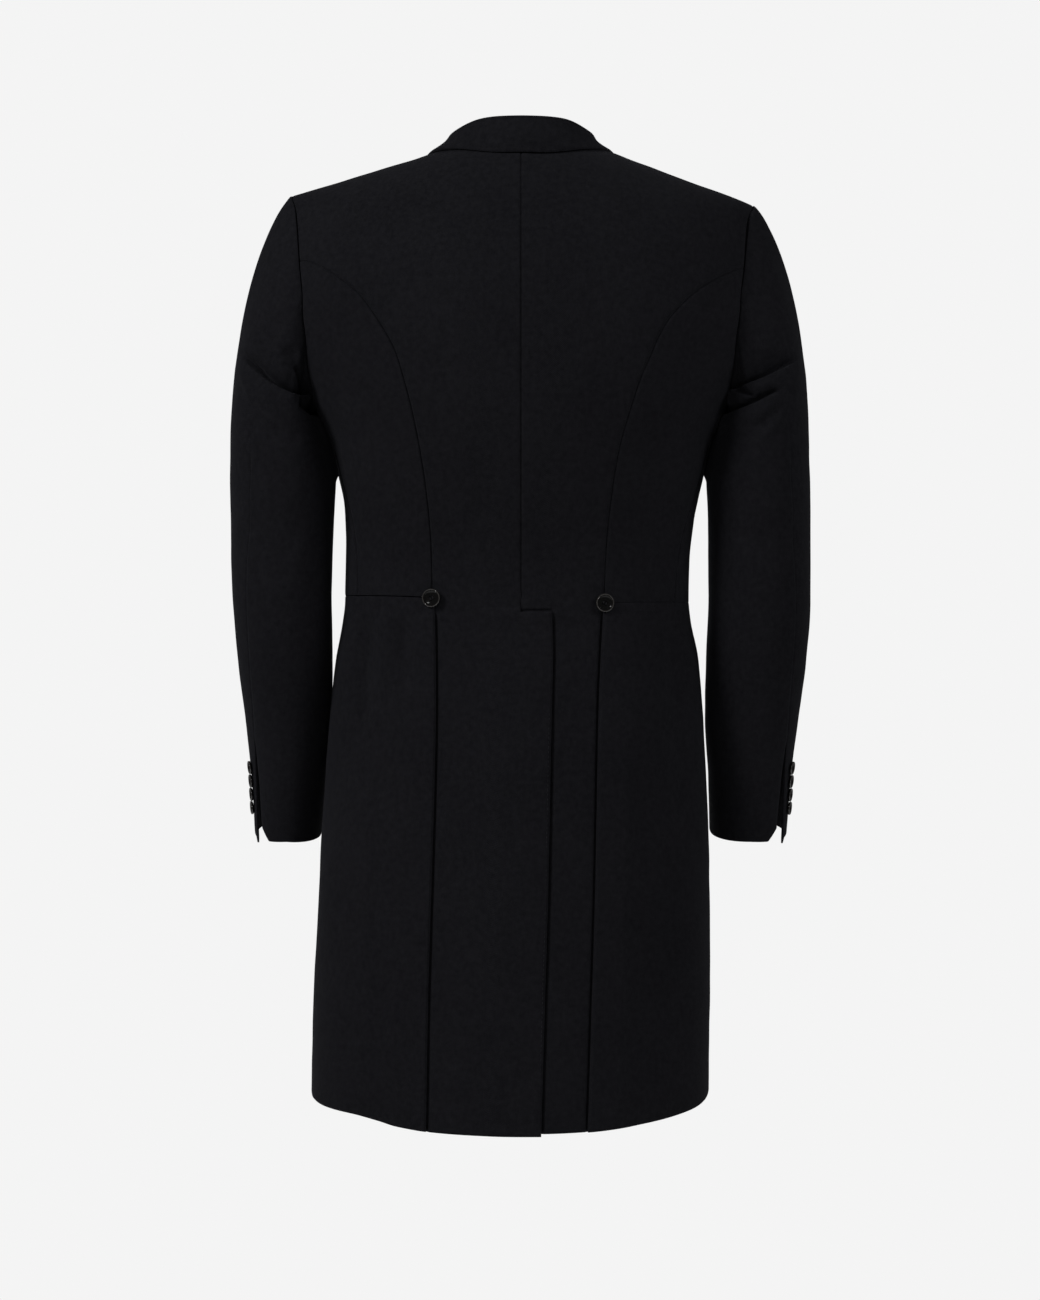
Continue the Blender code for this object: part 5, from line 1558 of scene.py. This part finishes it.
def pressed(side, p):
    """Under the armpit the sleeve leans in past the body's side, so that no light comes through."""
    x, y, z = side * p[..., 0], p[..., 1], p[..., 2]
    here = bell(y - PRESS_Y, PRESS_WIDE) * sinks_past(x, *PRESS_SIDE)
    return PRESS * here * sinks_past(z, *PRESS_FROM) * climbs_past(z, *PRESS_TO)


def sleeve_piece(side, name, last, opening, corner, behind, fine, coarse):
    """One piece of a sleeve; its part behind is finer, because the tucks are there."""
    low_rows = int(SLEEVE_LENGTH / CELL) + 1
    share = joined(np.linspace(0, 1, CAP_ROWS), np.linspace(1, 2, low_rows + 1))
    across = joined(np.linspace(0, behind, fine), np.linspace(behind, 1, coarse))
    flat = np.stack(np.broadcast_arrays(share[:, None], across[None, :], 0.0), -1)
    flat, keep = closer(flat, whole(flat), ENDS, ENDS)
    share, across = flat[..., 0], flat[..., 1]
    seam = smooth(HINDARM, 1, sleeve_height(share))
    first = seam + opening * np.clip((share - VENT_TOP) / (2 - VENT_TOP), 0, 1.1) ** 0.85
    turn = first + (last - first) * across
    from_edge = np.abs(turn - first) / (DROP_TURN if corner > 0 else SLANT_TURN)
    longer = corner * np.clip(1 - from_edge, 0, 1) / SLEEVE_LENGTH
    share = share + longer * np.clip((share - CUFF_FROM) / 0.2, 0, 1) ** 2
    points = sleeve_point(side, turn, share)
    later = np.where((share <= 1) & (share + PROBE > 1), share, np.minimum(share + PROBE, 2.04))
    sooner = np.where((share > 1) & (share - PROBE <= 1), share, np.maximum(share - PROBE, 0))
    down = sleeve_point(side, turn, later) - sleeve_point(side, turn, sooner)
    beside = sleeve_point(side, turn + 0.5, share) - sleeve_point(side, turn - 0.5, share)
    way = unit(np.cross(beside, down)) * -side
    low_groove = np.where(share < 1, GROOVE_CAP, GROOVE_ARM)
    groove = GROOVE * np.where(share < 0.06, GROOVE_HOLE, low_groove)
    held = ease((share - ALLOWANCE_SHARE) / 0.02)  # the seam holds the cloth in place
    rise = creases(SLEEVE_CREASES, points) * held + SLEEVE_WAVE * waves(points)
    rise = rise + sewn(points, keep, groove)
    moved = tucks(TUCKS, points, way) * held[..., None]
    moved[..., 0] -= side * pressed(side, points)
    points = points + way * (rise + CLOTH_THICK / 2)[..., None] + moved
    sheet("%s_%s" % (name, side_name(side)), points, way, keep)


for side in BOTH:
    sleeve_piece(side, "top_sleeve", FOREARM_TURN - 360, 0, CUFF_DROP, 0.36, 60, 44)
    sleeve_piece(side, "under_sleeve", FOREARM_TURN, VENT_OPEN, -CUFF_SLANT, 0.50, 64, 28)

# %% [markdown]
# The buttons are turned: a raised rim, a dished middle, and four holes. A profile of a few
# vertices is spun round, and one Boolean cuts the holes. The button is made once, a metre wide,
# and each real one is a copy with its size and place put into the mesh.

# %% One turned button
BUTTON_PROFILE = [
    # share_of_radius, share_of_thickness
    (0.00, 0.00),
    (0.66, 0.00),
    (0.82, 0.04),
    (0.93, 0.16),
    (0.985, 0.36),
    (1.00, 0.60),
    (0.995, 0.78),
    (0.975, 0.91),
    (0.945, 0.98),
    (0.91, 1.00),
    (0.88, 0.97),
    (0.86, 0.88),
    (0.845, 0.72),
    (0.82, 0.56),
    (0.74, 0.44),
    (0.60, 0.33),
    (0.42, 0.24),
    (0.22, 0.18),
    (0.00, 0.16),
]
BUTTON_FLAT = 0.20  # thickness of a button as a share of its diameter
HOLE = 0.052  # radius of a hole as a share of the diameter
HOLE_OUT = 0.105
BRIDGE = HOLE_OUT * 0.72  # how far out the middle of the bridge between two holes is


def turned_button():
    bm = bmesh.new()
    line = [bm.verts.new((r / 2, 0, t * BUTTON_FLAT)) for r, t in BUTTON_PROFILE]
    ring_edges = [bm.edges.new(pair) for pair in zip(line[:-1], line[1:])]
    bmesh.ops.spin(
        bm,
        geom=line + ring_edges,
        cent=(0, 0, 0),
        axis=(0, 0, 1),
        angle=2 * math.pi,
        steps=64,
        use_merge=True,
    )
    bmesh.ops.remove_doubles(bm, verts=bm.verts, dist=0.0001)
    bmesh.ops.recalc_face_normals(bm, faces=bm.faces[:])
    body = grown("button_body", bm)
    drills = bmesh.new()
    for k in range(4):
        a = math.pi / 4 + k * math.pi / 2
        place = (HOLE_OUT * math.cos(a), HOLE_OUT * math.sin(a), BUTTON_FLAT / 2)
        bmesh.ops.create_cone(
            drills,
            cap_ends=True,
            segments=16,
            radius1=HOLE,
            radius2=HOLE,
            depth=BUTTON_FLAT * 2,
            matrix=Matrix.Translation(place),
        )
    blank = add_object("button_blank", body)
    tool = add_object("button_tool", grown("button_holes", drills))
    cut = blank.modifiers.new("holes", "BOOLEAN")
    cut.operation = "DIFFERENCE"
    cut.object = tool
    bpy.context.view_layer.update()
    graph = bpy.context.evaluated_depsgraph_get()
    done = bpy.data.meshes.new_from_object(blank.evaluated_get(graph))
    for o in (blank, tool):
        bpy.data.objects.remove(o, do_unlink=True)
    done.shade_smooth()
    done.set_sharp_from_angle(angle=math.radians(40))
    # 1 on the raised rim; the finish uses it for the coat, the polish and a painted highlight in
    # the colour
    rim = done.attributes.new("rim", "FLOAT", "POINT")
    for k, v in enumerate(done.vertices):
        out = 2 * math.hypot(v.co.x, v.co.y)
        high = v.co.z / BUTTON_FLAT
        rim.data[k].value = float(ease((out - 0.80) / 0.08) * ease((high - 0.6) / 0.2))
    return done


BUTTON = turned_button()
print("button faces", len(BUTTON.polygons))

# %% [markdown]
# Each button is put where its solid is. The waist buttons sit on the tops of the pleats, the four
# on a cuff touch like scales, and one closes the front. The thread goes over the bridge between
# each pair of holes as two short bars, each a sphere that is stretched long and thin.

# %% The buttons and their thread
WAIST_BUTTON = 0.0182
FRONT_BUTTON = 0.0200
CUFF_BUTTON = 0.0134
CUFF_BUTTON_STEP = 0.0138
CUFF_BUTTON_Z = -0.6055
CUFF_BUTTON_TURN = 15
FRONT_BUTTON_AT = (0.0020, -0.4300)
BAR_HALF, BAR_UP = (0.016, BRIDGE + HOLE * 0.4, 0.018), 0.24
BAR_APART = 0.35  # half the distance of two bars, in radii of a hole
threads = bmesh.new()


def facing(way, turned=0.0):
    """A turn that stands a button's axis along a direction, then spins it in its own plane."""
    upright = Vector(way).to_track_quat("Z", "Y").to_matrix().to_4x4()
    return upright @ Matrix.Rotation(turned, 4, "Z")


def sew_button(node, place, way, diameter, turned=0.0):
    at = Matrix.Translation(Vector(place) + Vector(way) * GAP) @ facing(way, turned)
    mesh = BUTTON.copy()
    mesh.transform(at @ Matrix.Scale(diameter, 4))
    made = add_object(node + "_turned", mesh, HORN)
    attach(made, "root")
    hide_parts(node)
    thin = Matrix.Diagonal((*(size * diameter for size in BAR_HALF), 1))
    for across in (-1, 1):
        for spread in (-BAR_APART, BAR_APART):
            out = (across * BRIDGE + spread * HOLE) * diameter
            bar = Matrix.Translation((out, 0, BUTTON_FLAT * diameter * BAR_UP))
            bmesh.ops.create_uvsphere(
                threads, u_segments=8, v_segments=10, radius=1, matrix=at @ bar @ thin
            )


for side in BOTH:
    name = side_name(side)
    place = curved_seam(side)[-1]
    place = on_face(place[0], place[2], 1)
    way = unit(outward(place))
    sew_button("waist_button_" + name, place + way * 0.0018, way, WAIST_BUTTON, 0.5 * side)
    for k in range(4):
        z = np.array(CUFF_BUTTON_Z - k * CUFF_BUTTON_STEP)
        turn = smooth(HINDARM, 1, z) - CUFF_BUTTON_TURN
        p = sleeve_section(side, turn, z)
        beside = sleeve_section(side, turn + 0.5, z) - p
        below = sleeve_section(side, turn, z - 0.002) - p
        way = unit(np.cross(below, beside)) * side
        node = "cuff_button_%s_%d" % (name, k + 1)
        sew_button(node, p + way * (CLOTH_THICK / 2 + 0.0004), way, CUFF_BUTTON, 0.9 * k)
        off = (sum(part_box(node), Vector()) / 2 - Vector(p)).length
        print(node, "stands", round(off * 1000, 1), "mm off the middle of the sleeve's cloth")

place = on_face(*FRONT_BUTTON_AT, -1)
way = unit(outward(place))
sew_button("front_button", place + way * (LAP + 0.0003), way, FRONT_BUTTON, 0.4)

# %% [markdown]
# The vent's edge is held by a row of stitches close to it, which is the only sewing that shows
# from behind. Each stitch is a tiny stretched sphere, half sunk in the cloth.

# %% The stitches at the vent
STITCH = 0.0032
STITCH_STEP = 0.0046
STITCH_IN = 0.0026  # from the edge
THREAD_THICK = 0.00030


def stitch(place, along, way):
    along, way = Vector(along).normalized(), Vector(way).normalized()
    third = along.cross(way)
    turn = Matrix((along, third, way)).transposed().to_4x4()
    thin = Matrix.Diagonal((STITCH / 2, THREAD_THICK / 2, THREAD_THICK / 2, 1))
    at = Matrix.Translation(place) @ turn @ thin
    bmesh.ops.create_uvsphere(threads, u_segments=6, v_segments=6, radius=1, matrix=at)


def vent_points(z):
    """Places on the left back's lap, near its free edge."""
    p = on_face(-(smooth(VENT, 1, z) - STITCH_IN), z, 1)
    return p + unit(outward(p)) * (LAP - 0.0001)


stitch_z = np.arange(STEP_Z - 0.004, BACK_HEM[1] + 0.006, -STITCH_STEP)
line = vent_points(stitch_z)
for p, q in zip(line[:-1], line[1:]):
    stitch(p, q - p, outward(p))
thread_mesh = grown("sewing", threads)
thread_mesh.shade_smooth()
sewing = add_object("sewing", thread_mesh, THREAD)
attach(sewing, "root")
print("stitches", len(line) - 1, "faces", len(thread_mesh.polygons))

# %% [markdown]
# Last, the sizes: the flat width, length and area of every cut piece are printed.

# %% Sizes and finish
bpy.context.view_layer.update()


for node, cut in sorted(made_sheets.items()):
    print("cut", node, cut)
